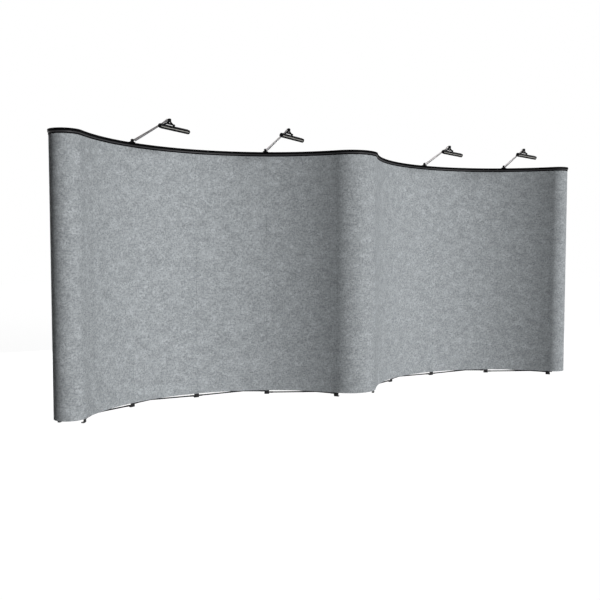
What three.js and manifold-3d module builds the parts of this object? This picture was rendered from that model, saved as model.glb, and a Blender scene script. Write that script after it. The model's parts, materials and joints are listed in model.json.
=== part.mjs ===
// A serpentine pop-up display backwall: two curved folding frames of scissor rods stand side by side.
// Channel bars clip to their front hubs, fabric panels hang on the bars from one header rail,
// rolled end panels wrap the frame's ends, and four arm lights clamp to the header.
// Millimetres, +Z up, +X along the wall, +Y away from the visitor who faces the concave bays.
// The origin is the middle of the bounding box, on the floor.
import * as THREE from "three";
import { mergeVertices } from "three/addons/utils/BufferGeometryUtils.js";
import Module from "manifold-3d";

const wasm = await Module();
wasm.setup();

const DEGREE = Math.PI / 180;

// ---- driving dimensions ----

// Clearance between pieces that touch, and the sides of small turned pieces.
const GAP = 0.3;
const ROUND_SIDES = 8;

// The bays: the fabric face is an arc seen from its hollow side, one quad of frame per panel.
const BAY_RADIUS = 1399.5;
const QUAD_ANGLE = 26.76 * DEGREE;
const QUADS_ACROSS = 4;
const QUADS_UP = 3;
const ROLL_START_ANGLE = 1.1 * DEGREE; // the bay's arc goes on this far past its last hub line
const REAR_HUB_SPACING = 90.6; // centre to centre of the two frames' neighbouring rear hubs

// The frame: front and rear hubs joined by pairs of crossed rods.
const FRAME_DEPTH = 196; // front hub centre to rear hub centre
const FACE_SETBACK = 24; // fabric face to front hub centre
const ROD_DIAMETER = 12;
const ROD_SIDES = 6;
const RIVET_WIDTH = 5;
const RIVET_SIDES = 4;
const HUB_WIDTH = 45;
const HUB_OUTER_DEPTH = 10; // hub centre to its outer face
const HUB_INNER_DEPTH = 14; // hub centre to its slotted inner face
const HUB_CAP_HEIGHT = 9; // hub plastic above and below its slot
const LINK_WIDTH = 12; // the block in a hub's slot that joins its level rods
const LINK_MARGIN = 0.6; // the block stands this far around its rods
const LINK_INNER_DEPTH = 11; // hub centre to the block's inner face

// Channel bars, panels and header.
const BAR_WIDTH = 32;
const BAR_HEAD_RISE = 59.4; // bar top above the top hubs' centres
const PANEL_THICKNESS = 3;
const HEM_HEIGHT = 38; // fabric hem above the floor
const BAR_FOOT_RISE = 3; // bar foot above the hem
const HEADER_HEIGHT = 45;
const HEADER_LIP_HEIGHT = 20;
const HEADER_LIP_DEPTH = 5; // the lip stands this far out of the header's face
const HEADER_FRONT = 3; // header face in front of the fabric
const HEADER_BACK = 15; // header back behind the fabric face
const BAY_ARC_STEPS = 5; // flats in one quad's arc
const BULGE_ARC_STEPS = 16;
const ROLL_ARC_STEPS = 14;

// The lights: clamp, arm, yoke and lamp.
const PIN_DIAMETER = 12;
const PIN_CAP_DIAMETER = 20;
const PIN_CAP_HEIGHT = 4;
const CLAMP_WIDTH = 50;
const CLAMP_THICKNESS = 6;
const CLAMP_JAW_THICKNESS = 9;
const CLAMP_JAW_DROP = 40;
const CLAMP_BOSS_DIAMETER = 28;
const CLAMP_BOSS_HEIGHT = 8;
const ARM_REACH = 450; // from pin to pin, level
const ARM_RISE = 120; // from pin to pin, upright
const ARM_DIAMETER = 14;
const ARM_EYE_DIAMETER = 28;
const ARM_EYE_HEIGHT = 12;
const ARM_TANG_LENGTH = 28; // flat tang from a pin to the arm's sloping tube
const ARM_TANG_OVERLAP = 7; // the tube runs this far into its tang
const YOKE_KNUCKLE_HEIGHT = 9;
const YOKE_DROP = 20; // knuckle foot to the lamp's hinge
const YOKE_HALF_WIDTH = 50;
const YOKE_THICKNESS = 6;
const YOKE_LEG_WIDTH = 9;
const YOKE_CORNER_LENGTH = 18; // the V's corners, along the hinge bar
const HINGE_DIAMETER = 8;
const HINGE_HALF_LENGTH = 66;
const EAR_WIDTH = 7;
const EAR_DEPTH = 15;
const EAR_CREST = 3.5; // an ear's edge above the hinge bar
const EAR_PLACE = 58; // middle of an ear from the yoke's middle, along the lamp
const LAMP_LENGTH = 380;
const LAMP_HEIGHT = 36;
const LAMP_DEPTH = 30;
const LAMP_HINGE_HEIGHT = 9; // hinge above the lamp's top
const LAMP_OFFSET = 75; // lamp's middle beside the yoke's
const LAMP_TILT = 25 * DEGREE;
const LAMP_END_STEPS = 6;
const WINDOW_MARGIN = 8;
const WINDOW_RECESS = 4;

// Where each light stands: its bay, its angle on the bay's arc, its arm's and its lamp's turn.
const LIGHTS = [
  { bay: -1, arc: -25.9, arm: 24.2, lamp: 31.7 },
  { bay: -1, arc: 26.5, arm: 0.4, lamp: 31.4 },
  { bay: 1, arc: -5.4, arm: -5, lamp: 20.3 },
  { bay: 1, arc: 33.3, arm: -17.7, lamp: 16 },
];

// ---- sizes that follow ----

const FRONT_HUB_RADIUS = BAY_RADIUS + FACE_SETBACK;
const REAR_HUB_RADIUS = FRONT_HUB_RADIUS + FRAME_DEPTH;
const LAST_HUB_ANGLE = (QUADS_ACROSS * QUAD_ANGLE) / 2;
const BAY_HALF_ANGLE = LAST_HUB_ANGLE + ROLL_START_ANGLE;
// Rods of one length fold only if a quad is as high as this.
const QUAD_HEIGHT = Math.sqrt(2 * FRONT_HUB_RADIUS * REAR_HUB_RADIUS * (1 - Math.cos(QUAD_ANGLE)));
const BAY_CENTRE_X = REAR_HUB_RADIUS * Math.sin(LAST_HUB_ANGLE) + REAR_HUB_SPACING / 2;
const BAY_CENTRE_Y = -BAY_RADIUS * Math.cos(BAY_HALF_ANGLE);
const BULGE_RADIUS = BAY_CENTRE_X / Math.sin(BAY_HALF_ANGLE) - BAY_RADIUS;
const ROLL_RADIUS = FRAME_DEPTH / 2 + FACE_SETBACK;
const LINK_HALF_HEIGHT = ROD_DIAMETER + GAP / 2 + LINK_MARGIN;
const LINK_OUTER_DEPTH = ROD_DIAMETER / 2 + LINK_MARGIN;
const SLOT_HALF_HEIGHT = LINK_HALF_HEIGHT + GAP;
const HUB_HALF_HEIGHT = SLOT_HALF_HEIGHT + HUB_CAP_HEIGHT;
const ROD_OFFSET = (ROD_DIAMETER + GAP) / 2;
const TOP_HUB_HEIGHT = HUB_HALF_HEIGHT + QUADS_UP * QUAD_HEIGHT;
const BAR_DEPTH = FACE_SETBACK - HUB_OUTER_DEPTH - PANEL_THICKNESS - 2 * GAP;
const BAR_TOP = TOP_HUB_HEIGHT + BAR_HEAD_RISE;
const HEADER_FOOT = BAR_TOP + GAP;
const HEADER_TOP = HEADER_FOOT + HEADER_HEIGHT;
const SEAM_ANGLE = GAP / BAY_RADIUS; // half of the seam between two panels
const CLAMP_TOP = HEADER_TOP + GAP + CLAMP_THICKNESS;
const ARM_HEIGHT = CLAMP_TOP + CLAMP_BOSS_HEIGHT + GAP + ARM_EYE_HEIGHT / 2;
// The lamp's hinge below the arm's far pin.
const HINGE_DEPTH = ARM_EYE_HEIGHT / 2 + GAP + YOKE_KNUCKLE_HEIGHT + YOKE_DROP;
const PIN_PLACE = BAY_RADIUS + (HEADER_BACK - HEADER_FRONT - HEADER_LIP_DEPTH) / 2;

// ---- solids ----

function solidOf(geometry) {
  const bare = geometry.index ? geometry.toNonIndexed() : geometry.clone();
  bare.deleteAttribute("normal");
  bare.deleteAttribute("uv");
  const merged = mergeVertices(bare, 1e-3);
  return new wasm.Manifold(
    new wasm.Mesh({
      numProp: 3,
      vertProperties: new Float32Array(merged.attributes.position.array),
      triVerts: new Uint32Array(merged.index.array),
    }),
  );
}

function geometryOf(solid) {
  const mesh = solid.getMesh();
  const geometry = new THREE.BufferGeometry();
  geometry.setAttribute("position", new THREE.BufferAttribute(mesh.vertProperties, 3));
  geometry.setIndex(new THREE.BufferAttribute(mesh.triVerts, 1));
  const flat = geometry.toNonIndexed();
  flat.computeVertexNormals();
  return flat;
}

function join(geometries, cuts = []) {
  const solid = geometries.map(solidOf).reduce((whole, piece) => whole.add(piece));
  return geometryOf(cuts.map(solidOf).reduce((whole, cut) => whole.subtract(cut), solid));
}

// A box between two corners.
function block(low, high) {
  const size = high.map((value, axis) => value - low[axis]);
  return new THREE.BoxGeometry(...size).translate(...low.map((value, axis) => value + size[axis] / 2));
}

// A straight round bar from one point to another.
function rod(from, to, radius, sides = ROUND_SIDES) {
  const start = new THREE.Vector3(...from);
  const run = new THREE.Vector3(...to).sub(start);
  const turn = new THREE.Quaternion().setFromUnitVectors(
    new THREE.Vector3(0, 1, 0),
    run.clone().normalize(),
  );
  const middle = start.clone().addScaledVector(run, 0.5);
  return new THREE.CylinderGeometry(radius, radius, run.length(), sides)
    .applyQuaternion(turn)
    .translate(middle.x, middle.y, middle.z);
}

// An upright round bar, a radius wide, from one height to another.
function post(x, y, low, high, radius) {
  return rod([x, y, low], [x, y, high], radius);
}

// A bore that a round bar of this diameter turns in without touching its flats.
function boreRadius(diameter) {
  return (diameter / 2 + GAP) / Math.cos(Math.PI / ROUND_SIDES);
}

// ---- the wall's plan ----
// A station is a point on the fabric's face, with the direction into the wall behind it.

function arcStations(centre, radius, from, to, steps, inward) {
  return Array.from({ length: steps + 1 }, (_, step) => {
    const angle = from + ((to - from) * step) / steps;
    const out = new THREE.Vector2(Math.sin(angle), Math.cos(angle));
    return {
      point: new THREE.Vector2(...centre).addScaledVector(out, radius),
      back: out.multiplyScalar(inward),
    };
  });
}

function mirrored(stations) {
  return stations.map(({ point, back }) => ({
    point: new THREE.Vector2(-point.x, point.y),
    back: new THREE.Vector2(-back.x, back.y),
  }));
}

function bayStations(from, to, steps) {
  return arcStations([0, 0], BAY_RADIUS, from, to, steps, 1);
}

// From the left bay's last hub line, round the middle bulge, to the right bay's first one.
function bulgeStations() {
  const start = LAST_HUB_ANGLE + SEAM_ANGLE;
  const left = arcStations([-BAY_CENTRE_X, BAY_CENTRE_Y], BAY_RADIUS, start, BAY_HALF_ANGLE, 1, 1);
  const middle = [0, BULGE_RADIUS * Math.cos(BAY_HALF_ANGLE)];
  const [from, to] = [Math.PI + BAY_HALF_ANGLE, Math.PI - BAY_HALF_ANGLE];
  const bulge = arcStations(middle, BULGE_RADIUS, from, to, BULGE_ARC_STEPS, -1);
  return [...left, ...bulge.slice(1, -1), ...mirrored(left).reverse()];
}

// From the left bay's first hub line, round the frame's end, to the same line behind it.
function rollStations() {
  const [near, far] = [-LAST_HUB_ANGLE - SEAM_ANGLE, -BAY_HALF_ANGLE];
  const front = arcStations([0, 0], BAY_RADIUS, near, far, 1, 1);
  const reach = BAY_RADIUS + ROLL_RADIUS;
  const centre = [reach * Math.sin(far), reach * Math.cos(far)];
  const roll = arcStations(centre, ROLL_RADIUS, far + Math.PI, far + 2 * Math.PI, ROLL_ARC_STEPS, -1);
  const rear = arcStations([0, 0], BAY_RADIUS + 2 * ROLL_RADIUS, far, near, 1, -1);
  return [...front, ...roll.slice(1, -1), ...rear];
}

// An upright band that follows the stations, between two depths behind the face and two heights.
function band(stations, near, far, low, high) {
  const edge = (depth) => stations.map(({ point, back }) => point.clone().addScaledVector(back, depth));
  const outline = new THREE.Shape([...edge(near), ...edge(far).reverse()]);
  return new THREE.ExtrudeGeometry(outline, { depth: high - low, bevelEnabled: false }).translate(0, 0, low);
}

function panel(stations) {
  return band(stations, 0, PANEL_THICKNESS, HEM_HEIGHT, BAR_TOP);
}

// The header's face, with a lip along its top that stands out of the face.
function header(stations) {
  const lipFoot = HEADER_TOP - HEADER_LIP_HEIGHT;
  return join([
    band(stations, -HEADER_FRONT, HEADER_BACK, HEADER_FOOT, HEADER_TOP),
    band(stations, -HEADER_FRONT - HEADER_LIP_DEPTH, HEADER_BACK, lipFoot, HEADER_TOP),
  ]);
}

// The rolled end panel ends behind the frame in a stiff edge strip, which seats on the rear hubs.
function endPanel() {
  const inner = REAR_HUB_RADIUS + HUB_OUTER_DEPTH + GAP;
  const strip = block(
    [-BAR_WIDTH / 2, inner, HEM_HEIGHT + BAR_FOOT_RISE],
    [-GAP, inner + BAR_DEPTH + PANEL_THICKNESS / 2, BAR_TOP],
  ).rotateZ(LAST_HUB_ANGLE);
  return join([panel(rollStations()), strip]);
}

function channelBar() {
  const near = BAY_RADIUS + PANEL_THICKNESS + GAP;
  return block(
    [-BAR_WIDTH / 2, near, HEM_HEIGHT + BAR_FOOT_RISE],
    [BAR_WIDTH / 2, near + BAR_DEPTH, BAR_TOP],
  );
}

// ---- the folding frame ----

// A hub, slotted across its inner face for the level rods. Side 1 is a front hub, -1 a rear one.
function hub(radius, height, side) {
  const [outer, inner] = [-side * HUB_OUTER_DEPTH, side * HUB_INNER_DEPTH];
  const near = radius + Math.min(outer, inner);
  const far = radius + Math.max(outer, inner);
  const half = HUB_WIDTH / 2;
  return block([-half, near, height - HUB_HALF_HEIGHT], [half, far, height + HUB_HALF_HEIGHT]);
}

function hubSlot(radius, height, side) {
  const wall = -side * (LINK_OUTER_DEPTH + GAP);
  const open = side * 2 * HUB_INNER_DEPTH;
  return block(
    [-HUB_WIDTH, radius + Math.min(wall, open), height - SLOT_HALF_HEIGHT],
    [HUB_WIDTH, radius + Math.max(wall, open), height + SLOT_HALF_HEIGHT],
  );
}

// One hub line: its hubs, front and rear, and the upright pairs of crossed rods between them.
// It is made at the bay's middle, in the plane x = 0, and turned to its place.
function column() {
  const heights = Array.from({ length: QUADS_UP + 1 }, (_, row) => HUB_HALF_HEIGHT + row * QUAD_HEIGHT);
  const ends = [
    [FRONT_HUB_RADIUS, 1],
    [REAR_HUB_RADIUS, -1],
  ];
  const hubs = heights.flatMap((height) => ends.map(([radius, side]) => hub(radius, height, side)));
  const slots = heights.flatMap((height) => ends.map(([radius, side]) => hubSlot(radius, height, side)));
  const seat = SLOT_HALF_HEIGHT + HUB_CAP_HEIGHT / 2; // the rods end inside the hubs' caps
  const shift = (FRAME_DEPTH * seat) / QUAD_HEIGHT;
  const pairs = heights.slice(0, -1).flatMap((height) => {
    const [low, high] = [height + seat, height + QUAD_HEIGHT - seat];
    const [front, rear] = [FRONT_HUB_RADIUS + shift, REAR_HUB_RADIUS - shift];
    const middle = [(FRONT_HUB_RADIUS + REAR_HUB_RADIUS) / 2, height + QUAD_HEIGHT / 2];
    const radius = ROD_DIAMETER / 2;
    return [
      rod([ROD_OFFSET, front, low], [ROD_OFFSET, rear, high], radius, ROD_SIDES),
      rod([-ROD_OFFSET, rear, low], [-ROD_OFFSET, front, high], radius, ROD_SIDES),
      rivet([-ROD_OFFSET, ...middle], [ROD_OFFSET, ...middle]),
    ];
  });
  return join([...hubs, ...pairs], slots);
}

// The pin where two rods cross.
function rivet(from, to) {
  return rod(from, to, RIVET_WIDTH / 2, RIVET_SIDES);
}

// A point at a radius and an angle about the bay's centre, at a height.
function place(radius, angle, height) {
  return [radius * Math.sin(angle), radius * Math.cos(angle), height];
}

// One level of the frame, at height 0: level pairs of crossed rods, and the links that join the
// pairs in the hubs' slots. The rods that reach a front hub from the bay's middle are the lower ones.
function row() {
  const angles = Array.from({ length: QUADS_ACROSS + 1 }, (_, line) => line * QUAD_ANGLE - LAST_HUB_ANGLE);
  const radius = ROD_DIAMETER / 2;
  const half = LINK_WIDTH / 2;
  const spans = [
    [FRONT_HUB_RADIUS - LINK_OUTER_DEPTH, FRONT_HUB_RADIUS + LINK_INNER_DEPTH],
    [REAR_HUB_RADIUS - LINK_INNER_DEPTH, REAR_HUB_RADIUS + LINK_OUTER_DEPTH],
  ];
  const links = angles.flatMap((angle) =>
    spans.map(([near, far]) =>
      block([-half, near, -LINK_HALF_HEIGHT], [half, far, LINK_HALF_HEIGHT]).rotateZ(-angle),
    ),
  );
  const pairs = angles.slice(0, -1).flatMap((angle) => {
    const next = angle + QUAD_ANGLE;
    const middle = angle + QUAD_ANGLE / 2;
    const rise = middle < 0 ? ROD_OFFSET : -ROD_OFFSET;
    const crossing =
      (2 * FRONT_HUB_RADIUS * REAR_HUB_RADIUS * Math.cos(QUAD_ANGLE / 2)) /
      (FRONT_HUB_RADIUS + REAR_HUB_RADIUS);
    const rods = [
      [place(FRONT_HUB_RADIUS, angle, rise), place(REAR_HUB_RADIUS, next, rise)],
      [place(REAR_HUB_RADIUS, angle, -rise), place(FRONT_HUB_RADIUS, next, -rise)],
    ];
    return [
      ...rods.map(([from, to]) => rod(from, to, radius, ROD_SIDES)),
      rivet(place(crossing, middle, -ROD_OFFSET), place(crossing, middle, ROD_OFFSET)),
    ];
  });
  return join([...links, ...pairs]);
}

// ---- the lights ----

// A pivot pin that stands on a shoulder and is capped above the eye that turns on it.
function cappedPin(x, y, shoulder, eyeHeight) {
  const capFoot = shoulder + eyeHeight + 2 * GAP;
  return [
    post(x, y, shoulder - GAP, capFoot + PIN_CAP_HEIGHT, PIN_DIAMETER / 2),
    post(x, y, capFoot, capFoot + PIN_CAP_HEIGHT, PIN_CAP_DIAMETER / 2),
  ];
}

// The clamp hooks over the header from behind. It is made at the bay's middle and turned.
function clamp() {
  const half = CLAMP_WIDTH / 2;
  const jaw = BAY_RADIUS + HEADER_BACK + GAP;
  const back = jaw + CLAMP_JAW_THICKNESS;
  const plateFoot = HEADER_TOP + GAP;
  const shoulder = CLAMP_TOP + CLAMP_BOSS_HEIGHT;
  return join([
    block([-half, BAY_RADIUS - HEADER_FRONT - HEADER_LIP_DEPTH, plateFoot], [half, back, CLAMP_TOP]),
    block([-half, jaw, HEADER_TOP - CLAMP_JAW_DROP], [half, back, CLAMP_TOP]),
    post(0, PIN_PLACE, plateFoot, shoulder, CLAMP_BOSS_DIAMETER / 2),
    ...cappedPin(0, PIN_PLACE, shoulder, ARM_EYE_HEIGHT),
  ]);
}

// The arm, from the clamp's pin at the origin towards -Y and up to the yoke's pin.
function arm() {
  const eye = ARM_EYE_HEIGHT / 2;
  const bore = boreRadius(PIN_DIAMETER);
  const tip = [0, -ARM_REACH, ARM_RISE];
  const half = ARM_DIAMETER / 2 + GAP;
  const tubeEnd = ARM_TANG_LENGTH - ARM_TANG_OVERLAP;
  return join(
    [
      post(0, 0, -eye, eye, ARM_EYE_DIAMETER / 2),
      post(0, tip[1], tip[2] - eye, tip[2] + eye, ARM_EYE_DIAMETER / 2),
      block([-half, -ARM_TANG_LENGTH, -eye], [half, 0, eye]),
      block([-half, tip[1], tip[2] - eye], [half, tip[1] + ARM_TANG_LENGTH, tip[2] + eye]),
      rod([0, -tubeEnd, 0], [0, tip[1] + tubeEnd, tip[2]], ARM_DIAMETER / 2),
    ],
    [
      post(0, 0, -ARM_DIAMETER, ARM_DIAMETER, bore),
      post(0, tip[1], tip[2] - ARM_DIAMETER, tip[2] + ARM_DIAMETER, bore),
    ],
  );
}

// The yoke turns in the arm's far eye: a pin, a knuckle under it, and a V that holds the hinge bar.
function yoke() {
  const knuckleTop = -ARM_EYE_HEIGHT / 2 - GAP;
  const knuckleFoot = knuckleTop - YOKE_KNUCKLE_HEIGHT;
  const hinge = -HINGE_DEPTH;
  const outline = new THREE.Shape([
    new THREE.Vector2(-YOKE_HALF_WIDTH, hinge),
    new THREE.Vector2(YOKE_HALF_WIDTH, hinge),
    new THREE.Vector2(YOKE_LEG_WIDTH, knuckleTop),
    new THREE.Vector2(-YOKE_LEG_WIDTH, knuckleTop),
  ]);
  const corner = YOKE_HALF_WIDTH - YOKE_CORNER_LENGTH;
  outline.holes.push(
    new THREE.Path([
      new THREE.Vector2(-corner, hinge + HINGE_DIAMETER / 2),
      new THREE.Vector2(0, knuckleFoot - YOKE_LEG_WIDTH / 2),
      new THREE.Vector2(corner, hinge + HINGE_DIAMETER / 2),
    ]),
  );
  const plate = new THREE.ExtrudeGeometry(outline, { depth: YOKE_THICKNESS, bevelEnabled: false })
    .rotateX(Math.PI / 2)
    .translate(0, YOKE_THICKNESS / 2, 0);
  return join([
    ...cappedPin(0, 0, knuckleTop, ARM_EYE_HEIGHT),
    post(0, 0, knuckleFoot, knuckleTop, ARM_EYE_DIAMETER / 2),
    plate,
    rod([-HINGE_HALF_LENGTH, 0, hinge], [HINGE_HALF_LENGTH, 0, hinge], HINGE_DIAMETER / 2),
  ]);
}

// A bar with half-round ends, along X, extruded towards -Y.
function roundEndedBar(length, height, depth) {
  const radius = height / 2;
  const straight = length / 2 - radius;
  const outline = new THREE.Shape();
  outline.absarc(straight, 0, radius, -Math.PI / 2, Math.PI / 2, false);
  outline.absarc(-straight, 0, radius, Math.PI / 2, (3 * Math.PI) / 2, false);
  const options = { depth, bevelEnabled: false, curveSegments: LAMP_END_STEPS };
  return new THREE.ExtrudeGeometry(outline, options).rotateX(Math.PI / 2);
}

// The lamp hangs on the hinge bar, which lies along X through the origin, by two ears.
function lamp() {
  const top = -LAMP_HINGE_HEIGHT;
  const middle = top - LAMP_HEIGHT / 2;
  const body = roundEndedBar(LAMP_LENGTH, LAMP_HEIGHT, LAMP_DEPTH);
  const [windowLength, windowHeight] = [LAMP_LENGTH, LAMP_HEIGHT].map((size) => size - 2 * WINDOW_MARGIN);
  const recess = roundEndedBar(windowLength, windowHeight, 2 * WINDOW_RECESS);
  const earTop = HINGE_DIAMETER / 2 + EAR_CREST;
  const ears = [-1, 1].map((side) =>
    block(
      [side * EAR_PLACE - EAR_WIDTH / 2, -EAR_DEPTH / 2, middle],
      [side * EAR_PLACE + EAR_WIDTH / 2, EAR_DEPTH / 2, earTop],
    ),
  );
  return join(
    [body.translate(LAMP_OFFSET, LAMP_DEPTH / 2, middle), ...ears],
    [
      recess.translate(LAMP_OFFSET, WINDOW_RECESS - LAMP_DEPTH / 2, middle),
      rod([-LAMP_LENGTH, 0, 0], [LAMP_LENGTH, 0, 0], boreRadius(HINGE_DIAMETER)),
    ],
  );
}

// ---- materials ----

function finish(color, roughness, metalness) {
  return () => new THREE.MeshStandardMaterial({ color, roughness, metalness });
}

const FABRIC = finish(0x8f9396, 0.95, 0);
const HEADER_PLASTIC = finish(0x222224, 0.45, 0);
const FRAME_PLASTIC = finish(0x101011, 0.6, 0);
const ROD_FINISH = finish(0x17181a, 0.5, 0.2);
const BAR_FINISH = finish(0x2b2c2e, 0.5, 0.4);
const LAMP_PLASTIC = finish(0x0d0d0e, 0.4, 0);
const SILVER = finish(0x9a9595, 0.35, 0.8);

// ---- assembly ----

const wall = new THREE.Group();

function add(parent, name, geometry, material) {
  const mesh = new THREE.Mesh(geometry, material());
  mesh.name = name;
  parent.add(mesh);
  return mesh;
}

function group(parent, x = 0, y = 0, z = 0) {
  const made = new THREE.Group();
  made.position.set(x, y, z);
  parent.add(made);
  return made;
}

// One bay: frame, bars, panels, header and the rolled end, about the centre of its arc.
function addBay(side, name) {
  const bay = group(wall, side * BAY_CENTRE_X, BAY_CENTRE_Y);
  for (let level = 0; level <= QUADS_UP; level += 1) {
    const rods = add(bay, `${name}_frame_row_${level + 1}`, row(), ROD_FINISH);
    rods.position.z = HUB_HALF_HEIGHT + level * QUAD_HEIGHT;
  }
  for (let line = 0; line <= QUADS_ACROSS; line += 1) {
    const angle = LAST_HUB_ANGLE - line * QUAD_ANGLE;
    add(bay, `${name}_frame_column_${line + 1}`, column(), FRAME_PLASTIC).rotation.z = angle;
    add(bay, `${name}_channel_bar_${line + 1}`, channelBar(), BAR_FINISH).rotation.z = angle;
  }
  const half = QUAD_ANGLE / 2 - SEAM_ANGLE;
  for (let quad = 0; quad < QUADS_ACROSS; quad += 1) {
    const shape = panel(bayStations(-half, half, BAY_ARC_STEPS));
    const fabric = add(bay, `${name}_panel_${quad + 1}`, shape, FABRIC);
    fabric.rotation.z = LAST_HUB_ANGLE - (quad + 0.5) * QUAD_ANGLE;
  }
  const reach = LAST_HUB_ANGLE - SEAM_ANGLE;
  const whole = bayStations(-reach, reach, QUADS_ACROSS * BAY_ARC_STEPS);
  add(bay, `${name}_header`, header(whole), HEADER_PLASTIC);
  const end = group(bay);
  end.scale.x = -side;
  add(end, `${name}_end_panel`, endPanel(), FABRIC);
  add(end, `${name}_end_header`, header(rollStations()), HEADER_PLASTIC);
}

function addLight(number, { bay, arc, arm: armTurn, lamp: lampTurn }) {
  const name = `light_${number}`;
  const stand = group(wall, bay * BAY_CENTRE_X, BAY_CENTRE_Y);
  add(stand, `${name}_clamp`, clamp(), FRAME_PLASTIC).rotation.z = -arc * DEGREE;
  const [x, y] = place(PIN_PLACE, arc * DEGREE, 0);
  const swing = group(stand, x, y, ARM_HEIGHT);
  swing.name = `${name}_swing`;
  swing.rotation.z = armTurn * DEGREE;
  add(swing, `${name}_arm`, arm(), SILVER);
  const turn = group(swing, 0, -ARM_REACH, ARM_RISE);
  turn.name = `${name}_turn`;
  turn.rotation.z = (lampTurn - armTurn) * DEGREE;
  add(turn, `${name}_yoke`, yoke(), LAMP_PLASTIC);
  const tilt = group(turn, 0, 0, -HINGE_DEPTH);
  tilt.name = `${name}_tilt`;
  tilt.rotation.x = LAMP_TILT;
  add(tilt, `${name}_lamp`, lamp(), LAMP_PLASTIC);
}

addBay(-1, "left");
addBay(1, "right");
add(wall, "centre_panel", panel(bulgeStations()), FABRIC);
add(wall, "centre_header", header(bulgeStations()), HEADER_PLASTIC);
LIGHTS.forEach((light, index) => addLight(index + 1, light));

// The origin goes to the middle of the bounding box, at floor level.
wall.updateMatrixWorld(true);
const bounds = new THREE.Box3().setFromObject(wall, true);
wall.position.set(-(bounds.min.x + bounds.max.x) / 2, -(bounds.min.y + bounds.max.y) / 2, 0);

export default wall;
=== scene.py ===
import json
import math

import bpy
import numpy as np
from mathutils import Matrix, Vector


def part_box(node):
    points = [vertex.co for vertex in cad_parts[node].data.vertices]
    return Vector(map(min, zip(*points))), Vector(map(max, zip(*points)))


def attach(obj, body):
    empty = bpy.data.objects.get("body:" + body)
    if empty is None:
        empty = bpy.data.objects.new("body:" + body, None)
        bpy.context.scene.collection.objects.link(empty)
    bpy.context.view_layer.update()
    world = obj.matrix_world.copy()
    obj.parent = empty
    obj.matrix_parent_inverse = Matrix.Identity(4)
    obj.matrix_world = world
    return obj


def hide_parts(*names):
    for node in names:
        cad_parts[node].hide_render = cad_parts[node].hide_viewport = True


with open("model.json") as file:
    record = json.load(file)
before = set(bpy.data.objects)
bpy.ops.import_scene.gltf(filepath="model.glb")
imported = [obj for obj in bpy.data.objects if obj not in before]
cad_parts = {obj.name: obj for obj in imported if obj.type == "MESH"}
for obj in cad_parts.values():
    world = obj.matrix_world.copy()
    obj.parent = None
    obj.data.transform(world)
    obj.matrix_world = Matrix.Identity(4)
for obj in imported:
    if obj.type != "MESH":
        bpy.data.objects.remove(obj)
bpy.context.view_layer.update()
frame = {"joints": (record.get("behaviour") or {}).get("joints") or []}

# Metres, +Z up, +X along the wall, +Y away from the visitor who faces it.

# ---- driving dimensions, the same as the frame's ----

GAP = 0.0003
BAY_RADIUS = 1.3995
QUAD_ANGLE = math.radians(26.76)
QUADS_ACROSS = 4
QUADS_UP = 3
ROLL_START_ANGLE = math.radians(1.1)
FRAME_DEPTH = 0.196
FACE_SETBACK = 0.024
ROD_RADIUS = 0.006
HUB_WIDTH = 0.045
HUB_OUTER_DEPTH = 0.010
HUB_INNER_DEPTH = 0.014
HUB_CAP_HEIGHT = 0.009
LINK_OUTER_DEPTH = 0.0066
LINK_HALF_HEIGHT = 0.01275
BAR_WIDTH = 0.032
PANEL_THICKNESS = 0.003
HEM_HEIGHT = 0.038
BAR_FOOT_RISE = 0.003
HEADER_HEIGHT = 0.045
HEADER_FRONT = 0.003
HEADER_BACK = 0.015
HEADER_LIP_HEIGHT = 0.020
HEADER_LIP_DEPTH = 0.005

# ---- places that follow ----

FRONT_HUB_RADIUS = BAY_RADIUS + FACE_SETBACK
REAR_HUB_RADIUS = FRONT_HUB_RADIUS + FRAME_DEPTH
LAST_HUB_ANGLE = QUADS_ACROSS * QUAD_ANGLE / 2
BAY_HALF_ANGLE = LAST_HUB_ANGLE + ROLL_START_ANGLE
SEAM_ANGLE = GAP / BAY_RADIUS
ROLL_RADIUS = FRAME_DEPTH / 2 + FACE_SETBACK
BAR_DEPTH = FACE_SETBACK - HUB_OUTER_DEPTH - PANEL_THICKNESS - 2 * GAP
ROD_OFFSET = ROD_RADIUS + GAP / 2
SLOT_HALF_HEIGHT = LINK_HALF_HEIGHT + GAP
HUB_HALF_HEIGHT = SLOT_HALF_HEIGHT + HUB_CAP_HEIGHT
QUAD_HEIGHT = math.sqrt(2 * FRONT_HUB_RADIUS * REAR_HUB_RADIUS * (1 - math.cos(QUAD_ANGLE)))
HEADER_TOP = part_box("left_header")[1].z
HEADER_FOOT = HEADER_TOP - HEADER_HEIGHT
BAR_FOOT, BAR_TOP = HEM_HEIGHT + BAR_FOOT_RISE, HEADER_FOOT - GAP
REBATE_HEIGHT = 0.005
REBATE_DEPTH = PANEL_THICKNESS + 0.0004
PANEL_TOP = HEADER_FOOT + REBATE_HEIGHT - GAP


def bay_centre(name):
    """The centre of a bay's arc in plan: the middle hub line's plane, one rear hub radius before its back."""
    low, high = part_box(f"{name}_frame_column_{QUADS_ACROSS // 2 + 1}")
    return np.array([(low.x + high.x) / 2, high.y - HUB_OUTER_DEPTH - REAR_HUB_RADIUS])


def line_angle(line):
    """The angle of a hub line, counted from the left, about its bay's centre."""
    return line * QUAD_ANGLE - LAST_HUB_ANGLE


def nearest(name, kind, count, angle):
    """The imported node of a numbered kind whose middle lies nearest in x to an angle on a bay's face."""
    x = bay_centre(name)[0] + BAY_RADIUS * math.sin(angle)
    nodes = [f"{name}_{kind}_{k + 1}" for k in range(count)]
    return min(nodes, key=lambda node: abs(sum(corner.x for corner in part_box(node)) / 2 - x))


# ---- the photograph's view ----

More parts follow.
